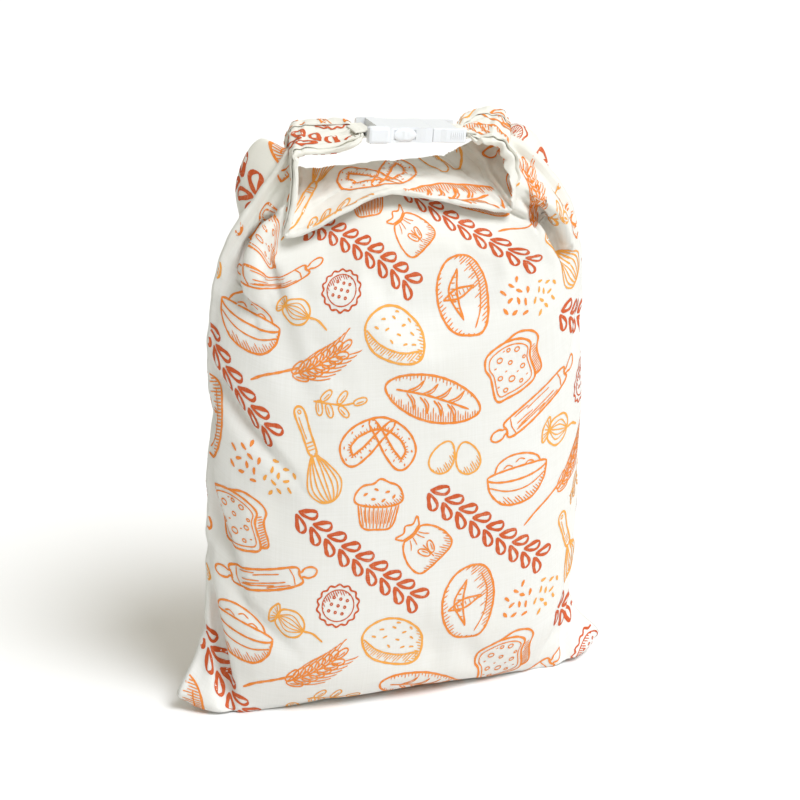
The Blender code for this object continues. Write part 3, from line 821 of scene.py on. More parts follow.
def roll_faces():
    """Both faces of the folded cloth along the whole roll, as grids of stations by
    places round the section, in which x runs across the roll and y is its height. The
    front fold swells into a bead with a groove behind it, a loose fold lies on the base,
    and the plies wander together, gather lengthwise where the roll narrows at its ends,
    and wrinkle across it in its corners. Each is a bell, a smooth step or waves, a
    millimetre or two high, of places along and across the roll."""
    faces = np.array([ply_sides(half) for half in roll_half])
    x = faces[..., 0]
    y = faces[..., 1]
    middle = PLY_HEIGHTS[1]
    half = roll_half[:, None, None]
    run = roll_run[:, None, None]
    # where it is: near an end, in a corner, on the top ply
    ends = np.minimum(roll_run, roll_run[-1] - roll_run)[:, None, None]
    gather = (1 - smooth_step(ends / 46.0)) * smooth_step(ends / 12.0 + 0.2)
    turning = np.linalg.norm(np.gradient(roll_up, roll_run, axis=0), axis=-1)
    corner = smooth_step(turning / 0.07)[:, None, None]
    upper = fade(y, 1.2, 0.7)
    # bead and groove
    from_front = x + half
    bead = by_station(POST_BEAD, 1) * bell((from_front - BEAD_PLACE) / by_station(POST_BEAD, 2))
    bead = bead * (1 + 0.3 * waves(run, (31.0, 53.0), 5.0))
    thicker = 1 + bead + 0.16 * waves(run + 2 * x, (27.0, 38.0, 61.0), 6.0)
    y = middle + (y - middle) * thicker
    groove = bell((from_front - GROOVE_PLACE - 0.8 * waves(run, (37.0, 59.0), 4.0)) / 1.3)
    y = y - upper * GROOVE * groove * (1 - corner)
    # loose fold, hanging over its edge a little
    tall = by_station(LOOSE_FOLD, 2)
    past = from_front - by_station(LOOSE_FOLD, 1) * 2 * half + 0.8 * waves(run, (17.0, 29.0), 7.0)
    y = y + upper * tall * (smooth_step(past / 1.3) - 0.5 * bell((past + 0.8) / 1.1))
    x = x - upper * tall * 1.3 * bell((past - 1.4) / 1.5)
    # uneven front and back edges, then the plies' wander
    front = smooth_step(-x / half - 0.3)
    back = smooth_step(x / half - 0.3)
    broad = 0.9 * waves(run + 4 * y, (29.0, 47.0, 83.0), 1.0)
    x = x + front * (broad + 0.5 * waves(run - 9 * y, (13.0, 19.0), 2.0))
    x = x + back * 1.2 * waves(run, (23.0, 41.0, 67.0), 8.0)
    y = y + 0.55 * waves(run + 0.6 * x, (23.0, 41.0, 67.0), 2.0)
    y = y + 0.5 * waves(run - 1.3 * x, (19.0, 33.0, 52.0), 9.0)
    y = y + 0.45 * waves(x + 0.35 * run, (9.0, 14.0, 23.0), 4.0)
    # gathers at the ends, wrinkles in the corners and the right corner's crease
    y = y + gather * 1.2 * np.sin(2 * np.pi * x / 8.5 + 0.05 * run) * waves(run, (37.0, 61.0), 3.0)
    y = y + gather * 0.8 * np.sin(2 * np.pi * x / 5.0 + 1.0)
    across = 0.9 * np.sin(2 * np.pi * run / 10.5 + 0.16 * x)
    y = y + corner * (across + 0.5 * waves(run - 0.9 * x, (6.5, 11.0), 5.0))
    start, slope, deep = CORNER_CREASE
    past = run - start - slope * x - 1.2 * waves(x, (23.0, 41.0), 2.0)
    y = y - upper * deep * (bell(past / 1.8) - 0.8 * bell((past - 4.2) / 3.0))
    at = roll_middle[:, None, None] + x[..., None] * roll_wide[:, None, None]
    at = at + y[..., None] * roll_up[:, None, None]
    return at[:, 0], at[:, 1]


roll_outside, roll_inside = roll_faces()


def folded_piece(name, points, along, around, turned=False):
    """Rings of points joined one to the next all round, and closed across both ends,
    where the ring's halves face each other. Along and around are the rings' and their
    points' places on the flat cloth."""
    count = points.shape[1]
    a, b = np.meshgrid(np.arange(len(points) - 1), np.arange(count), indexing="ij")
    c = (b + 1) % count
    faces = np.stack([a * count + b, a * count + c, (a + 1) * count + c, (a + 1) * count + b], -1)
    k = np.arange(count // 2 - 1)
    cap = np.stack([k, k + 1, count - 2 - k, count - 1 - k], -1)
    last = (len(points) - 1) * count
    faces = np.concatenate([faces.reshape(-1, 4), cap[:, ::-1], cap + last])
    if turned:
        faces = faces[:, ::-1]
    place = np.stack(np.meshgrid(along, around, indexing="ij"), -1).reshape(-1, 2)
    return mesh_piece(name, points.reshape(-1, 3), faces, place[faces.ravel()])


roll_rings = np.concatenate([roll_outside, roll_inside[:, ::-1]], axis=1)
roll = folded_piece("rolled_mouth", roll_rings, roll_run, run_along(roll_rings[len(roll_rings) // 2]))
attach(roll, "root")
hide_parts("bag")
roll.data.materials.append(bpy.data.materials["waxed cotton canvas"])

# Buckle: a side-release buckle for webbing, two halves moulded in white acetal. The oval
# pads of the prong half's sprung arms stand in the windows of the socket's sides, and the
# fingers get a hold on fine ribs beside its slot.

# Its middle's x and z, its slope down to the right, and its half width in plan by x
BUCKLE_MIDDLE = (14.1, 417.0)
BUCKLE_SLOPE = np.tan(np.radians(4.5))
BUCKLE_SIDE = np.array([
    [-5.0, 17.2], [-1.5, 15.4], [4.0, 14.4], [12.0, 14.4], [17.0, 15.4], [20.0, 15.8],
    [31.0, 15.8], [35.0, 16.6], [48.6, 16.6],
])
# Domes on its sides: place in x, half length, half height, rise, how oval the outline is,
# depth of the rim
PAD = (5.2, 8.5, 4.75, 1.9, 0.5, 0.15)
PAD_ROOT = (5.15, 8.2, 3.36, 0.2, 0.03, 0.55)
RIBS = [(place, 0.42, 3.3, 0.5, 0.5, 0.15) for place in np.arange(38.4, 48.0, 1.5)]
DOME_BACK = 1.2


def low_dome(place, wide, tall, rise, oval, sink, side, fine):
    """A dome on the buckle's side, its rim sunk a little, and a flat back below it. A
    square grid u, v is rounded as x = u sqrt(1 - k v^2), z = v sqrt(1 - k u^2), where k
    is 0.5 for an oval, and the dome stands sqrt(1 - r^3) high at r of the way out."""
    u, v = np.meshgrid(np.linspace(-1, 1, fine), np.linspace(-1, 1, fine), indexing="ij")
    x = u * np.sqrt(1 - oval * v * v)
    z = v * np.sqrt(1 - oval * u * u)
    high = rise * np.sqrt(np.clip(1 - (x * x + z * z) ** 1.5, 0.0, 1.0))
    along = place + wide * x
    shell = np.interp(along, BUCKLE_SIDE[:, 0], BUCKLE_SIDE[:, 1])
    level = along - BUCKLE_MIDDLE[0]
    turn = np.arctan(BUCKLE_SLOPE)
    points = np.stack([
        np.stack([
            BUCKLE_MIDDLE[0] + level * np.cos(turn) + tall * z * np.sin(turn),
            side * (shell + out),
            BUCKLE_MIDDLE[1] - level * np.sin(turn) + tall * z * np.cos(turn),
        ], axis=-1)
        for out in (high - sink, np.full(u.shape, -sink - DOME_BACK))
    ]).reshape(-1, 3)
    k = np.arange(fine * fine).reshape(fine, fine)
    quads = np.stack([k[:-1, :-1], k[1:, :-1], k[1:, 1:], k[:-1, 1:]], axis=-1).reshape(-1, 4)
    rim = np.concatenate([k[:-1, 0], k[-1, :-1], k[:0:-1, -1], k[0, :0:-1]])
    nxt = np.roll(rim, -1)
    wall = np.stack([nxt, rim, rim + fine * fine, nxt + fine * fine], axis=-1)
    faces = np.concatenate([quads, quads[:, ::-1] + fine * fine, wall])
    return points, faces[:, ::-1] if side > 0 else faces


def joined(parts):
    """The points and the faces of several parts, as those of one."""
    starts = np.cumsum([0] + [len(points) for points, _ in parts])
    points = np.concatenate([points for points, _ in parts])
    faces = np.concatenate([faces + start for (_, faces), start in zip(parts, starts)])
    return points, faces


def white_acetal():
    """Moulded acetal: a cool white that lets a little light in, half gloss, with an
    even fine grain, dull scuffs and the moulds' parting line round the middle."""
    made, tree, shader = material("white acetal", 0.34)
    place = node(tree, "TexCoord").outputs["Object"]
    cloudy = node(tree, "TexNoise", place, None, 55.0, 2.0).outputs[0]
    white = mixed(tree, cloudy, (0.80, 0.825, 0.862, 1), (0.825, 0.848, 0.88, 1))
    streaks = node(tree, "Mapping", place, None, None, (90.0, 700.0, 700.0)).outputs[0]
    scuffs = node(tree, "TexNoise", streaks, None, 1.0, 3.0, 0.6).outputs[0]
    worn = node(tree, "MapRange", scuffs, 0.60, 0.74, 0.0, 1.0).outputs[0]
    white = mixed(tree, maths(tree, "MULTIPLY", worn, 0.30), white, (0.80, 0.82, 0.85, 1))
    tree.links.new(white, shader.inputs["Base Color"])
    tree.links.new(maths(tree, "MULTIPLY_ADD", worn, 0.22, 0.32), shader.inputs["Roughness"])
    split = node(tree, "SeparateXYZ", place)
    sloped = maths(tree, "MULTIPLY_ADD", split.outputs[0], BUCKLE_SLOPE, split.outputs[2])
    middle = (BUCKLE_MIDDLE[1] + BUCKLE_SLOPE * BUCKLE_MIDDLE[0]) * MM
    off = maths(tree, "ABSOLUTE", maths(tree, "SUBTRACT", sloped, middle))
    parting = node(tree, "MapRange", off, 0.0, 0.00012, 1.0, 0.0).outputs[0]
    fine_grain = node(tree, "TexNoise", place, None, 1800.0, 2.0).outputs[0]
    bumped(tree, shader, maths(tree, "MULTIPLY_ADD", parting, 2.2, fine_grain), 0.5, 0.00003)
    shader.inputs["Subsurface Weight"].default_value = 0.12
    shader.inputs["Subsurface Radius"].default_value = (0.0012, 0.0012, 0.0014)
    shader.inputs["Subsurface Scale"].default_value = 1.0
    shader.inputs["IOR"].default_value = 1.48
    return made


acetal = white_acetal()
for half in ("buckle_socket", "buckle_prongs"):
    for slot in bpy.data.objects[half].material_slots:
        slot.material = acetal

for name, domes, fine in (("press_pads", (PAD, PAD_ROOT), 25), ("grip_ribs", RIBS, 9)):
    parts = [low_dome(*dome, side, fine) for dome in domes for side in (-1, 1)]
    piece = mesh_piece(name, *joined(parts))
    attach(piece, "root")
    piece.data.materials.append(acetal)

# Loops of the roll's ends: doubled cloth that goes over the buckle's bar, down through
# its slot and back under, into the roll, where it is sewn down.

# Each loop's name, its bar's inner edge and its own end in x, then the cloth's and the
# bar's thickness, the room between them, half the loop's width as it lies and flat, and its
# rows across
BAR_SIDES = (("left_bar_loop", -18.5, -30.0), ("right_bar_loop", 46.7, 58.0))
LOOP_THICK = 1.0
BAR_THICK = 3.0
LOOP_ROOM = 0.4
LOOP_HALF = 12.3
LOOP_FLAT_HALF = 13.0
LOOP_ROWS = 41


def bar_loop(name, bar_inner, x_end):
    """A sheet bent round a bar: a path that comes down a little from the bar to the
    roll above it and up below it, and is half an oval in the slot, with its thickness
    to both sides, drawn across the bar's length. Half a millimetre of sine waves
    crimps it between the bar and the roll, where it gets a little wider."""
    way = np.sign(x_end - bar_inner)
    reach = 0.5 * BAR_THICK + LOOP_ROOM + 0.5 * LOOP_THICK
    flat = np.linspace(0.0, 1.0, 14)[:, None]
    slot_x = bar_inner - way * 0.5
    top = np.array([x_end, reach - 1.3]) * (1 - flat) + np.array([slot_x, reach]) * flat
    turn = arc(0.0, 0.0, 1.0, 90, 270, 13)[1:-1] * (reach - 0.2, reach)
    turn[:, 0] = slot_x + way * turn[:, 0] * 0.72
    path = np.concatenate([top, turn, top[::-1] * (1, -1)])
    along = unit(np.gradient(path, axis=0))
    out = np.stack([along[:, 1], -along[:, 0]], axis=-1) * 0.5 * LOOP_THICK
    outline = np.concatenate([path + out, (path - out)[::-1]])
    across = np.linspace(-1.0, 1.0, LOOP_ROWS)
    half = LOOP_HALF + 0.25 * waves(np.arange(LOOP_ROWS) * 1.0, (9.0, 17.0), 4.0)
    away = np.abs(outline[:, 0] - bar_inner)
    crimp = 0.5 * np.sin(2 * np.pi * across[:, None] * 2.6 + 0.5)
    crimp = crimp * smooth_step(away / 6.0) * smooth_step(2.2 - away / 5.2)
    level = BUCKLE_MIDDLE[1] - BUCKLE_SLOPE * (outline[:, 0] - BUCKLE_MIDDLE[0])
    points = np.stack([
        np.broadcast_to(outline[:, 0], crimp.shape),
        (across * half)[:, None] * (1 + 0.012 * away),
        level + outline[:, 1] + crimp,
    ], axis=-1)
    return folded_piece(name, points, across * LOOP_FLAT_HALF, run_along(outline), way > 0)


for name, bar_inner, x_end in BAR_SIDES:
    loop = bar_loop(name, bar_inner, x_end)
    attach(loop, "root")
    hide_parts("bag")
    loop.data.materials.append(bpy.data.materials["waxed cotton canvas"])

# Print: drawn in three inks on the flat cloth before it was sewn, so it runs round the
# fold at the bottom and on over the rolled mouth. Each line is a flat ribbon that lies
# on the threads. A tile of bakery things repeats, each second column half a tile up.

# The tile's size, how high the ink lies, and the width of hatching
TILE_WIDE = 216.0
TILE_TALL = 232.0
INK_LIFT = 0.16
HATCH = 0.95
ORANGE, DEEP, AMBER = 0, 1, 2


def even(line, step=1.3):
    """The line as points an even step apart."""
    run = run_along(line)
    at = np.linspace(0.0, run[-1], max(int(np.ceil(run[-1] / step)), 3) + 1)
    return np.stack([np.interp(at, run, line[:, 0]), np.interp(at, run, line[:, 1])], axis=1)


def drawn(knots, closed=False):
    """A smooth pen line through the knots: the cubic between two knots, in twelve steps,
    takes its leads from the knots on both sides of them."""
    knots = np.asarray(knots, float)
    if closed:
        ends = np.concatenate([knots[-1:], knots, knots[:2]])
    else:
        ends = np.concatenate([2 * knots[:1] - knots[1:2], knots, 2 * knots[-1:] - knots[-2:-1]])
    at = np.linspace(1.0, len(ends) - 2.0, (len(ends) - 3) * 12 + 1)
    return even(along_rows(ends, at))


def pen(width, *knots):
    """A smooth open stroke through the knots. A stroke is a line and its width."""
    return [(drawn(knots), width)]


def ring(width, *knots):
    """A smooth closed stroke through the knots."""
    return [(drawn(knots, True), width)]


def dash(width, *knots):
    """A stroke straight from knot to knot."""
    return [(even(np.array(knots, float)), width)]


def turned(points, degrees):
    """Points turned about the origin."""
    a = np.radians(degrees)
    return points @ np.array([[np.cos(a), np.sin(a)], [-np.sin(a), np.cos(a)]])


def oval(x, y, wide, tall):
    """An ellipse with these half sizes."""
    angle = np.radians(np.linspace(0.0, 360.0, 60))
    return even(np.stack([wide * np.cos(angle), tall * np.sin(angle)], axis=1) + (x, y), 1.0)


def shaded(rim, slope, reach, gap=2.0):
    """Engraver's lines inside a closed rim: parallel strokes at this slope, from its far
    side inwards by this share of the way across, long and short by turns."""
    rim = turned(rim, -slope)
    strokes = []
    for n, level in enumerate(np.arange(rim[:, 1].min() + 0.7 * gap, rim[:, 1].max(), gap)):
        start, stop = rim[:-1], rim[1:]
        cross = (start[:, 1] - level) * (stop[:, 1] - level) < 0
        start, stop = start[cross], stop[cross]
        way = (level - start[:, 1]) / (stop[:, 1] - start[:, 1])
        x = start[:, 0] + way * (stop[:, 0] - start[:, 0])
        far = x.max() - 0.5
        length = (x.max() - x.min()) * reach * (0.5 + 0.5 * np.sin(2.2 * n + 0.6) ** 2)
        if length > 1.6:
            line = np.array([(far, level), (far - length, level)])
            strokes.append((even(turned(line, slope), 1.8), HATCH))
    return strokes


def grain(x, y, length, turn, width):
    """A solid kernel: one short bowed stroke, pointed at both ends."""
    bow = 0.12 * length * np.cos(np.linspace(-1.5, 1.5, 6))
    line = np.stack([np.linspace(-length, length, 6), bow], axis=1)
    return [(even(turned(line, turn) + (x, y), 0.9), width)]


def husk(x, y, length, wide, turn, width):
    """A kernel in outline: two bowed lines that meet at both tips, and a crease."""
    t = np.linspace(0, np.pi, 12)
    bow = np.stack([-length * np.cos(t), wide * np.sin(t) ** 0.8], axis=1)
    rim = np.concatenate([bow, bow[::-1] * (1, -1)])
    crease = np.stack([np.linspace(-0.6, 0.5, 5) * length, np.full(5, -0.25 * wide)], axis=1)
    return [
        (even(turned(rim, turn) + (x, y), 1.0), width),
        (even(turned(crease, turn) + (x, y)), 0.8 * width),
    ]


def wheat_ear():
    """An ear of wheat on a bent stalk, with long awns."""
    strokes = pen(2.0, (-44, -13), (-33, -8), (-20, -5), (-4, -2))
    for n in range(7):
        f = 0.40 + 0.085 * n
        x, y = -34 + 68 * f, -8 + 14 * f * f
        lean = np.degrees(np.arctan2(28 * f, 68))
        size = 6.4 - 0.25 * n
        for side in (-1, 1):
            place = turned(np.array([2.6, side * 3.5]), lean) + (x, y)
            strokes += husk(*place, size, 2.7, lean + side * 27, 1.4)
            tip = place + turned(np.array([size, 0.0]), lean + side * 27)
            awn = np.array([(0, 0), (8, side * 0.8), (17 - n, side * 0.2)])
            strokes += pen(1.0, *(turned(awn, lean + side * 16) + tip))
    return strokes + husk(35.0, 7.6, 6.0, 2.6, 24, 1.4)


def round_loaf():
    """A round loaf with a cross cut in its crust and bands of flour."""
    rim = drawn([
        (-29, -3), (-26, 10), (-12, 19), (6, 20.5), (22, 13), (29, 0), (26, -12), (9, -19.5),
        (-11, -19), (-26, -13),
    ], True)
    strokes = [(rim, 2.0)]
    for start, middle, end in (((-19, 1), (0, 8), (18, 3)), ((-6, 16), (-1, 4), (5, -10))):
        run = np.subtract(end, start)
        over = np.array([-run[1], run[0]]) / np.hypot(*run)
        for bow in (3.4, -3.4):
            strokes += pen(1.7, start, middle + bow * over, end)
        for f in (0.2, 0.32, 0.44, 0.56, 0.68, 0.8):
            place = start + f * run + 4 * f * (1 - f) * (np.array(middle) - start - 0.5 * run)
            strokes += dash(HATCH, place - 1.7 * over, place + 1.9 * over)
    strokes += pen(1.2, (-24, -7), (-9, -13.5), (9, -14), (23, -8))
    return strokes + shaded(rim, -52, 0.30) + shaded(rim, 128, 0.12, 2.6)


def leaf_cut_loaf():
    """A plump pointed loaf scored like a leaf: a middle cut and side cuts."""
    rim = drawn([
        (-39, 0), (-29, 10), (-9, 16), (11, 15.5), (30, 9.5), (39, 0), (29, -10), (9, -16),
        (-11, -15.5), (-30, -9.5),
    ], True)
    strokes = [(rim, 2.0)] + pen(1.8, (-30, -0.5), (-9, 1.4), (11, 0.8), (30, -0.8))
    for x in (-21, -10, 1, 12):
        for side in (-1, 1):
            tip = (x + 10, side * 11.5)
            strokes += pen(1.6, (x, side * 0.9), (x + 6, side * 5.2), tip)
            strokes += pen(1.1, (x + 3.4, side * 1.0), (x + 8.4, side * 5.0), tip)
    return strokes + shaded(rim, -70, 0.30, 1.9) + shaded(rim, 108, 0.13, 2.8)


def bread_slice():
    """A slice of tin bread with its crust and its holes."""
    face = np.array([
        (-21, -20), (-21.5, -2), (-24, 6), (-20, 15), (-5, 19), (9, 16.5), (17, 9), (14, 0),
        (14.5, -17), (4, -21), (-11, -21.5),
    ])
    strokes = ring(2.0, *face) + ring(1.1, *(face * 0.84 - (0.6, 0.3)))
    strokes += pen(1.9, (-5, 19), (9, 21.5), (20, 17), (24.5, 9.5), (21, 1), (21.5, -14), (14.5, -17))
    for n in range(12):
        f = n / 11
        strokes += dash(HATCH, (15.2 + 1.1 * (f < 0.3), 5 - 21 * f), (20.6, 6 - 19 * f))
    for x, y, r in (
        (-11, 8, 1.8), (-3, 3, 1.3), (5, 10, 1.6), (-14, -5, 1.5), (-5, -9, 2.0),
        (6, -4, 1.5), (2, -14, 1.2), (-12, -15, 1.4), (-2, 12.5, 1.2), (9, 2, 1.0),
    ):
        strokes.append((oval(x, y, r * 1.3, r), 1.1))
    for x, y in ((-16, 3), (-8, -2), (1, -6), (8, -12), (-6, 13), (-17, -11)):
        strokes += dash(1.1, (x - 1, y), (x + 1, y + 0.3))
    return strokes


def pretzel():
    """A pretzel: a rope drawn by its two edges, thin at the ends, with salt on it."""
    rope = drawn([
        (-8, 17), (1, 6.5), (10, -5), (20, -12.5), (26, -2), (18, 10), (0, 17), (-18, 10),
        (-26, -2), (-20, -12.5), (-10, -5), (-1, 6.5), (8, 17),
    ])
    along = np.gradient(rope, axis=0)
    over = np.stack([-along[:, 1], along[:, 0]], axis=1) / np.hypot(*along.T)[:, None]
    edge = (4.3 - 1.5 * np.abs(np.linspace(-1, 1, len(rope)))[:, None] ** 3) * over
    strokes = [(even(rope + edge), 1.9), (even(rope - edge), 1.9)]
    for n, way in ((0, -2.2), (-1, 2.2)):
        strokes += pen(1.9, rope[n] + edge[n], rope[n] + way * along[n], rope[n] - edge[n])
    for f in np.linspace(0.14, 0.86, 14):
        n = int(f * len(rope))
        spot = rope[n] - 1.2 * over[n] + 0.8 * np.array([np.sin(40 * f), np.cos(40 * f)])
        strokes += dash(1.5, *(spot + turned(np.array([[-1.0, 0], [1.0, 0]]), 400 * f)))
    for n in (np.linspace(0.10, 0.90, 52) * len(rope)).astype(int):
        deep = 0.30 + 0.24 * np.sin(2.3 * n) ** 2
        strokes += dash(HATCH, rope[n] + 0.95 * edge[n], rope[n] + deep * edge[n])
    return strokes


def seeded_roll():
    """A round roll with seeds on its top and a hatched base."""
    rim = drawn([
        (-25, -4), (-24, 7), (-13, 17), (3, 19.5), (19, 13), (25.5, 0), (23, -11), (7, -16.5),
        (-13, -15),
    ], True)
    base = drawn([
        (-24.5, -3), (-9, -8.5), (9, -8.5), (24.5, -2), (23, -11), (7, -16.5), (-13, -15),
        (-24, -8),
    ], True)
    strokes = [(rim, 2.0)] + pen(1.6, (-24, -3), (-9, -8.5), (9, -8.5), (24.5, -2))
    for x, y, a in (
        (-13, 8, 20), (-4, 12, -10), (6, 10, 30), (14, 7, -20), (-8, 3, 40), (3, 3, 0),
        (-17, 1, 0), (10, 14.5, -30), (-2, 16.5, 10), (17, 0, 15), (10, -2, 30), (-2, -3.5, -30),
    ):
        strokes += grain(x, y, 1.9, a, 1.7)
    return strokes + shaded(base, 62, 0.85, 1.9) + shaded(rim, 0, 0.10, 2.2)


def rolling_pin():
    """A rolling pin with turned handles."""
    strokes = ring(
        2.0, (-28, 6.6), (0, 7.6), (28, 6.6), (29.4, 0), (28, -6.6), (0, -7.6), (-28, -6.6), (-29.4, 0)
    )
    grip = np.array([
        (29, 2.8), (32, 1.9), (35, 3.8), (40.5, 3.5), (43.5, 0), (40.5, -3.5), (35, -3.8),
        (32, -1.9), (29, -2.8),
    ])
    for side in (-1, 1):
        strokes += pen(1.7, *(grip * (side, 1)))
        strokes += dash(1.1, (side * 23.5, 6.4), (side * 24.8, 0), (side * 23.5, -6.4))
    for y, start, stop in (
        (-4.6, -22, 7), (-2.9, -17, 17), (-5.8, 0, 20), (3.4, -8, 14), (-0.8, -20, -4),
        (-3.8, -20, -12), (5.0, -20, -6),
    ):
        strokes += pen(1.05, (start, y), ((start + stop) / 2, y + 0.4), (stop, y))
    return strokes


def whisk():
    """A balloon whisk."""
    strokes = []
    for w in (1.6, 5.8, 9.8, 13.2):
        upper = [(-2, 1.2), (9, 0.55 * w + 1), (23, w), (33, 0.62 * w)]
        strokes += pen(1.4, *upper, (36, 0), *[(x, -y) for x, y in upper[::-1]])
    strokes += ring(1.9, (-2, 2.8), (-18, 3.4), (-33, 4.0), (-37, 0), (-33, -4.0), (-18, -3.4), (-2, -2.8))
    for x in (-5, -7.6, -10.2):
        strokes += dash(1.1, (x, 2.8), (x, -2.8))
    strokes.append((oval(-33, 0, 1.4, 1.2), 1.1))
    return strokes + pen(1.1, (-30, -1.6), (-20, -1.4), (-13, -1.2))


def mixing_bowl():
    """A bowl of dough, banded under its rim."""
    outside = [(-27, 4), (-24, -8), (-14, -18), (0, -20.5), (14, -18), (24, -8), (27, 4)]
    angle = np.linspace(0, 2 * np.pi, 40)
    mouth = np.stack([27 * np.cos(angle), 4 + 5 * np.sin(angle)], axis=1)
    strokes = pen(2.0, *outside) + dash(1.8, *mouth)
    strokes += pen(1.7, (-21, 7), (-17, 15), (-6, 19.5), (7, 18), (17, 13), (21, 7))
    for x, y in ((-9, 11), (2, 14), (10, 10)):
        strokes += pen(1.2, (x - 4, y - 1), (x, y + 1.2), (x + 4.5, y - 0.6))
    strokes += pen(1.3, (-25.4, -3), (-9, -8.5), (9, -8.5), (25.4, -3))
    side = drawn([*outside, (14, -0.6), (0, -1.4), (-14, -0.6)], True)
    return strokes + shaded(side, -48, 0.34, 2.1)


def eggs():
    """Two eggs side by side."""
    strokes = []
    for x, y, a in ((-9.5, 0, 68), (10.5, -1.5, 110)):
        shell = oval(0, 0, 13, 9.6)
        shell[:, 1] *= 1 - 0.018 * shell[:, 0]
        shell = turned(shell, a) + (x, y)
        strokes += [(even(shell, 1.0), 1.7)] + shaded(shell, -58, 0.34, 1.8)
    return strokes


def muffin():
    """A muffin in a pleated paper case."""
    top = drawn([
        (-20, 1), (-21, 8), (-15, 15), (-6, 17), (0, 21), (8, 18), (16, 15), (21, 7), (19, 1),
        (8, -2), (-8, -2),
    ], True)
    strokes = [(top, 2.0)] + pen(1.9, (-18, -0.5), (-13, -19), (0, -21.5), (13, -19), (18, -0.5))
    for n in range(-4, 5):
        strokes += dash(1.3, (3.9 * n, -2.6 + 0.06 * n * n), (2.9 * n, -20.8 + 0.1 * n * n))
    for n in range(-4, 4):
        strokes += dash(0.8, (3.6 * n + 1.9, -5), (3.0 * n + 1.5, -17 + 0.1 * n * n))
    for x, y, a in ((-12, 8, 30), (-3, 12, -20), (7, 10, 10), (13, 6, 60), (-5, 4, 0), (4, 3, 40)):
        strokes += grain(x, y, 2.0, a, 2.6)
    return strokes + shaded(top, -42, 0.20, 1.9)


def biscuit():
    """A biscuit with a wavy edge and holes."""
    angle = np.linspace(0.0, 2 * np.pi, 145)
    reach = 17.5 + 0.9 * np.cos(14 * angle)
    rim = np.stack([np.cos(angle), np.sin(angle)], axis=1) * reach[:, None]
    band = oval(0, 0, 13.6, 13.6)
    strokes = [(even(rim, 0.9), 1.8), (band, 1.1)]
    for x in (-6, 0, 6):
        for y in (-6, 0, 6):
            strokes.append((oval(x + 0.1 * y, y, 1.0, 1.0), 1.3))
    return strokes + shaded(band, -50, 0.24, 1.9)


def flour_sack():
    """A tied sack of flour."""
    rim = drawn([
        (-9, 12), (-16, 5), (-20, -8), (-17, -20), (0, -22), (17, -20), (20, -8), (16, 5),
        (9, 12), (0, 10.5),
    ], True)
    strokes = [(rim, 2.0)]
    strokes += pen(1.8, (-9, 13), (-13, 20), (-5, 18), (0, 21.5), (6, 18), (13, 20.5), (9, 13))
    strokes += pen(1.7, (-9.5, 12), (0, 10), (9.5, 12)) + pen(1.3, (-9.5, 14), (0, 12), (9.5, 14))
    for x in (-6, -2, 3, 6):
        strokes += pen(1.1, (0.8 * x, 9.5), (1.2 * x, 5), (1.7 * x, 1.5))
    strokes += husk(-3.6, -8, 5.6, 2.6, 112, 1.4) + husk(3.6, -8, 5.6, 2.6, 68, 1.4)
    return strokes + pen(1.4, (0, -2), (0, -17)) + shaded(rim, -60, 0.22)


def loose_grain():
    """Kernels lying about."""
    strokes = []
    for n in range(11):
        a = 2.4 * n
        r = 4.6 * np.sqrt(n + 0.3)
        strokes += grain(r * np.cos(a), 0.9 * r * np.sin(a), 2.6, 57 * n, 2.8)
    return strokes


def leaf_sprig():
    """A twig with small leaves."""
    strokes = pen(1.5, (-17, -4), (-4, -1), (6, 1), (14, 5))
    for x, y, a in (
        (-9, 3.4, 62), (-3, -5.8, -52), (3.5, 6.0, 70), (8, -3.4, -28), (18, 7.2, 32), (-11, -6.8, -64)
    ):
        strokes += husk(x, y, 5.4, 2.5, a, 1.3)
    return strokes


def poppy_head():
    """A poppy's seed head on its stalk, with its flat crown."""
    strokes = ring(
        1.8, (-10, 4), (-11, -3), (-6.5, -10), (0, -12), (6.5, -10), (11, -3), (10, 4), (5.5, 10), (-5.5, 10)
    )
    strokes += ring(
        1.7, (-9.5, 13.5), (-4.5, 10.5), (0, 10), (4.5, 10.5), (9.5, 13.5), (4.5, 16), (0, 16.8), (-4.5, 16)
    )
    for x in (-7, -3.6, 0, 3.6, 7):
        strokes += pen(1.1, (0.15 * x, 9.6), (x, 0), (0.15 * x, -11.6))
        strokes += dash(HATCH, (0.3 * x, 11), (1.1 * x, 15))
    return strokes + pen(2.0, (0, -12), (1.6, -20), (-1, -30))


def plait():
    """A bold slanting row like a plaited loaf: pairs of thick bowed strands that lie
    on each other."""
    strokes = []
    t = np.linspace(0, 1, 10)
    for n in range(9):
        for side in (-1, 1):
            bow = side * (1.4 + 9.0 * np.sin(0.5 * np.pi * t) ** 1.2)
            strand = np.stack([-60 + 13.8 * n + 11 * t, bow], axis=1)
            inner = strand + np.sin(np.pi * t)[:, None] * (6.2, -side * 2.6)
            strokes += dash(3.5, *strand) + dash(2.6, *inner)
    return strokes


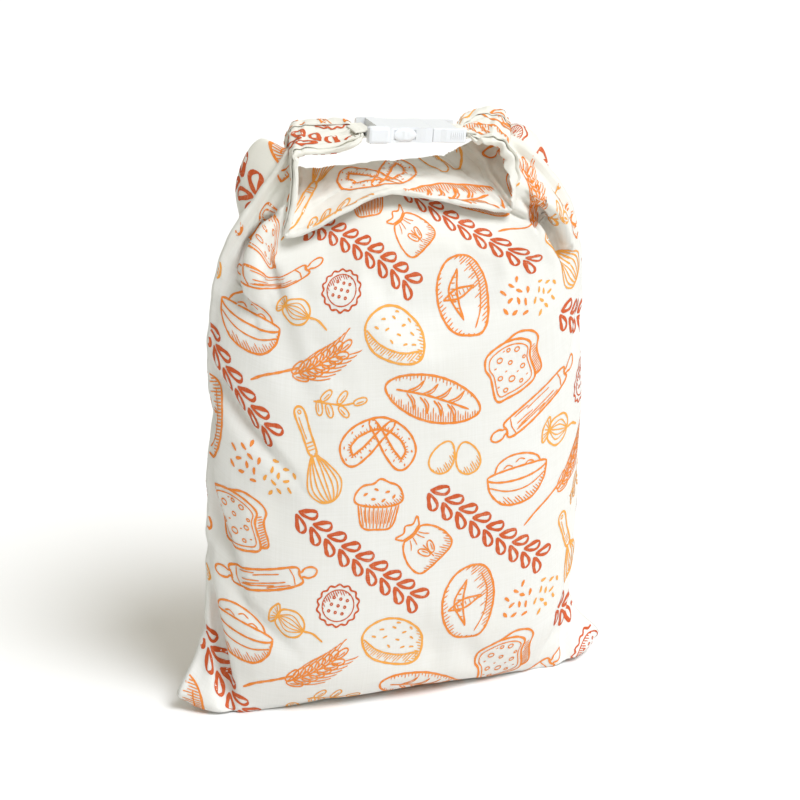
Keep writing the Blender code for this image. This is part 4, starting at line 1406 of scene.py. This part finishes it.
# drawing, ink, place across and up the tile, turn in degrees, scale
TILE = (
    (plait, DEEP, 58, 170, -38, 1.0),
    (plait, DEEP, 172, 44, -38, 1.0),
    (round_loaf, ORANGE, 43, 116, 86, 1.0),
    (wheat_ear, ORANGE, 127, 189, 12, 1.0),
    (pretzel, ORANGE, 187, 129, -9, 1.0),
    (bread_slice, ORANGE, 79, 60, 13, 1.0),
    (leaf_cut_loaf, ORANGE, 13, 44, -20, 1.0),
    (seeded_roll, AMBER, 200, 207, -22, 1.0),
    (rolling_pin, ORANGE, 99, 23, 21, 1.0),
    (whisk, AMBER, 137, 124, -69, 1.0),
    (eggs, AMBER, 30, 231, -4, 0.95),
    (loose_grain, ORANGE, 85, 107, -83, 1.0),
    (loose_grain, AMBER, 110, 103, 83, 0.95),
    (leaf_sprig, AMBER, 153, 162, -19, 1.0),
    (muffin, ORANGE, 187, 86, -5, 0.9),
    (mixing_bowl, ORANGE, 81, 206, 0, 0.95),
    (poppy_head, AMBER, 119, 227, 65, 0.95),
    (biscuit, DEEP, 156, 10, 163, 0.9),
    (flour_sack, ORANGE, 5, 168, 41, 0.9),
)


def tile_ribbons(ink):
    """The tile's strokes in one ink as ribbons of the flat cloth: two edges for each
    point, half a width to both sides, narrowing at open ends. The pen presses unevenly
    by a sine, and strokes that cross lie a little above each other."""
    edges = []
    lift = []
    faces = []
    start = 0
    for number, (drawing, named, x, y, turn, scale) in enumerate(TILE):
        strokes = drawing() if named == ink else []
        for n, (line, width) in enumerate(strokes):
            points = turned(line * scale, turn) + (x, y)
            along = np.gradient(points, axis=0)
            over = unit(np.stack([-along[:, 1], along[:, 0]], axis=1))
            count = len(points)
            run = np.arange(count)
            pen = 0.88 + 0.12 * np.sin(0.9 * run + 1.3 * n + number)
            if np.hypot(*(points[0] - points[-1])) > 0.5:
                end = np.minimum(run, run[::-1]) * 1.3
                pen = pen * (0.35 + 0.65 * smooth_step(end / (1.6 * width) + 0.25))
            half = (0.5 * width * scale * pen)[:, None]
            both = np.stack([points + half * over, points - half * over], axis=1)
            edges.append(both.reshape(-1, 2))
            lift.append(np.full(2 * count, INK_LIFT + 0.02 * (n % 4) + 0.01 * (number % 3)))
            k = start + 2 * np.arange(count - 1)
            faces.append(np.stack([k, k + 1, k + 3, k + 2], axis=1))
            start += 2 * count
    return np.concatenate(edges), np.concatenate(lift), np.concatenate(faces)


def repeated(ribbons, low, high):
    """The tile repeated over a flat field, each second column half a tile up, and cut
    off at the field's edges."""
    edges, lift, faces = ribbons
    columns = np.arange(np.floor(low[0] / TILE_WIDE) - 1, np.ceil(high[0] / TILE_WIDE) + 1)
    rows = np.arange(np.floor(low[1] / TILE_TALL) - 2, np.ceil(high[1] / TILE_TALL) + 2)
    column, row = (n.ravel() for n in np.meshgrid(columns, rows))
    shift = np.stack([column * TILE_WIDE, (row + 0.5 * (column % 2)) * TILE_TALL], axis=1)
    places = (edges[None] + shift[:, None]).reshape(-1, 2)
    lifts = np.tile(lift, len(shift))
    all_faces = (faces[None] + (np.arange(len(shift)) * len(edges))[:, None, None]).reshape(-1, 4)
    inside = ((places > low) & (places < high)).all(axis=1)
    all_faces = all_faces[inside[all_faces].all(axis=1)]
    used, renumbered = np.unique(all_faces, return_inverse=True)
    return places[used], lifts[used], renumbered.reshape(-1, 4)


def between(grid, rows, columns):
    """Values at places between the points of a grid, from the four around each."""
    i = np.clip(rows.astype(int), 0, grid.shape[0] - 2)
    j = np.clip(columns.astype(int), 0, grid.shape[1] - 2)
    u = (rows - i)[:, None]
    v = (columns - j)[:, None]
    near = grid[i, j] * (1 - v) + grid[i, j + 1] * v
    far = grid[i + 1, j] * (1 - v) + grid[i + 1, j + 1] * v
    return near * (1 - u) + far * u


def laid_on_bag(places, lift):
    """The flat cloth's places on the two panels: front above the fold, back below it."""
    rows = np.abs(places[:, 1]) * (cloth.shape[1] - 1) / CLOTH_LENGTH
    columns = (places[:, 0] + HALF_FLAT) * (cloth.shape[2] - 1) / (2 * HALF_FLAT)
    on_front = (places[:, 1] > 0)[:, None]
    at, out = (
        np.where(on_front, between(front, rows, columns), between(back, rows, columns))
        for front, back in (cloth, cloth_out)
    )
    return at + lift[:, None] * out


def ink_material(name, line, worn):
    """Ink in the cloth's threads: it follows the weave, lets the cloth's colour through
    on uneven threads, and its tone wanders between two."""
    made, tree, shader = material(name, 0.75)
    weave = woven(tree, shader, 0.0001)
    place = node(tree, "TexCoord").outputs["Object"]
    tone = node(tree, "TexNoise", place, None, 45.0, 2.0).outputs[0]
    rubbed = node(tree, "MapRange", tone, 0.35, 0.7, 0.0, 0.45).outputs[0]
    bare = node(tree, "MapRange", weave.outputs["Tone"], 0.52, 0.66, 0.0, 0.20).outputs[0]
    ink = mixed(tree, rubbed, line, worn)
    tree.links.new(mixed(tree, bare, ink, (0.86, 0.70, 0.52, 1)), shader.inputs["Base Color"])
    shader.inputs["Specular IOR Level"].default_value = 0.25
    return made


# How much higher the ink lies on the roll, and the print's distance from a ply's ends and
# from its edges
ROLL_LIFT = 0.12
END_MARGIN = 1.0
EDGE_MARGIN = 0.6


def roll_print(places, lift, face, ply, way):
    """The flat cloth's places on one face of the roll: along it, and across a ply."""
    length = run_along(face[len(face) // 2, ply])
    rows = np.interp(places[:, 0], roll_run, np.arange(len(roll_run)))
    columns = np.interp(places[:, 1], length, np.arange(len(length)))
    grid = face[:, ply]
    out = unit(np.cross(np.gradient(grid, axis=0), np.gradient(grid, axis=1)) * way)
    return between(grid, rows, columns) + (lift + ROLL_LIFT)[:, None] * between(out, rows, columns)


def ply_field(face, ply):
    """The corners of a ply's flat field, a little in from its edges."""
    margin = np.array([END_MARGIN, EDGE_MARGIN])
    return margin, np.array([roll_run[-1], run_along(face[len(face) // 2, ply])[-1]]) - margin


# The printed field of the bag, and each ink with its colour and its worn one. The pattern
# on the roll's top and under ply goes on from other places of the tile.
bag_high = np.array([HALF_FLAT - 1.0, CLOTH_LENGTH - 4.0])
for ink, name, line, worn in (
    (ORANGE, "orange_print", (0.80, 0.235, 0.034, 1), (0.84, 0.30, 0.07, 1)),
    (DEEP, "deep_orange_print", (0.56, 0.090, 0.022, 1), (0.64, 0.14, 0.04, 1)),
    (AMBER, "amber_print", (0.84, 0.36, 0.060, 1), (0.86, 0.43, 0.11, 1)),
):
    ribbons = tile_ribbons(ink)
    flat, lift, faces = repeated(ribbons, -bag_high, bag_high)
    sheets = [(laid_on_bag(flat, lift), faces, flat)]
    for face, ply, way, shift in (
        (roll_outside, TOP_PLY, -1, (34.0, 95.0)),
        (roll_inside, UNDER_PLY, 1, (140.0, 10.0)),
    ):
        low, high = ply_field(face, ply)
        flat, lift, faces = repeated(ribbons, low + shift, high + shift)
        flat = flat - shift
        sheets.append((roll_print(flat, lift, face, ply, way), faces, flat))
    points, faces = joined([(points, faces) for points, faces, _ in sheets])
    flat = np.concatenate([flat for _, _, flat in sheets])
    piece = mesh_piece(name, points, faces, flat[faces.ravel()])
    piece.data.materials.append(ink_material(name.replace("_", " "), line, worn))
    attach(piece, "root")

# Floor, lights and camera: a plain pale floor, a soft key light to the right of the camera,
# well above it, and a surround that is bright above and at the right, and dim at the left.

floor_mesh = bpy.data.meshes.new("floor")
floor_mesh.from_pydata([(-8, -8, 0), (8, -8, 0), (8, 8, 0), (-8, 8, 0)], [], [(0, 1, 2, 3)])
floor = bpy.data.objects.new("floor", floor_mesh)
bpy.context.scene.collection.objects.link(floor)
pale, _, pale_shader = material("pale floor", 0.9)
pale_shader.inputs["Base Color"].default_value = (0.91, 0.91, 0.91, 1)
floor_mesh.materials.append(pale)
floor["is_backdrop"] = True

world = bpy.data.worlds.new("surround")
bpy.context.scene.world = world
world.use_nodes = True
surround = world.node_tree
direction = node(surround, "TexCoord").outputs["Generated"]
to_left = node(surround, "VectorMath", direction, (-0.75, 0.0, -0.66), operation="DOT_PRODUCT")
share_left = node(
    surround, "MapRange", to_left.outputs["Value"], -0.8, 0.75, interpolation_type="SMOOTHSTEP"
).outputs[0]
tones = mixed(surround, share_left, (1.30, 1.27, 1.13, 1), (0.34, 0.31, 0.205, 1))
surround.links.new(tones, surround.nodes["Background"].inputs["Color"])
surround.nodes["Background"].inputs["Strength"].default_value = 0.515

sun = bpy.data.lights.new("key", "SUN")
sun.energy = 2.55
sun.color = (0.955, 0.98, 1.03)
sun.angle = np.radians(28.0)
key = bpy.data.objects.new("key", sun)
bpy.context.scene.collection.objects.link(key)
key.rotation_euler = (np.radians(34.0), 0.0, np.radians(32.0))

camera = bpy.data.objects.new("camera", bpy.data.cameras.new("camera"))
bpy.context.scene.collection.objects.link(camera)
camera.data.lens = 96.98
camera.data.sensor_width = 36.0
camera.data.clip_end = 60.0
# The point that it looks at, its distance from there, and its direction seen from there
AIM = np.array([0.0066, 0.0, 0.220])
DISTANCE = 1.552
azimuth, elevation = np.radians(-18.0), np.radians(20.0)
back_way = np.array([
    np.sin(azimuth) * np.cos(elevation), -np.cos(azimuth) * np.cos(elevation), np.sin(elevation)
])
right_way = np.array([np.cos(azimuth), np.sin(azimuth), 0.0])
up_way = np.cross(back_way, right_way)
stand = AIM + DISTANCE * back_way
camera.matrix_world = Matrix(
    [(right_way[n], up_way[n], back_way[n], stand[n]) for n in range(3)] + [(0, 0, 0, 1)]
)
bpy.context.scene.camera = camera

low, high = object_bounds()
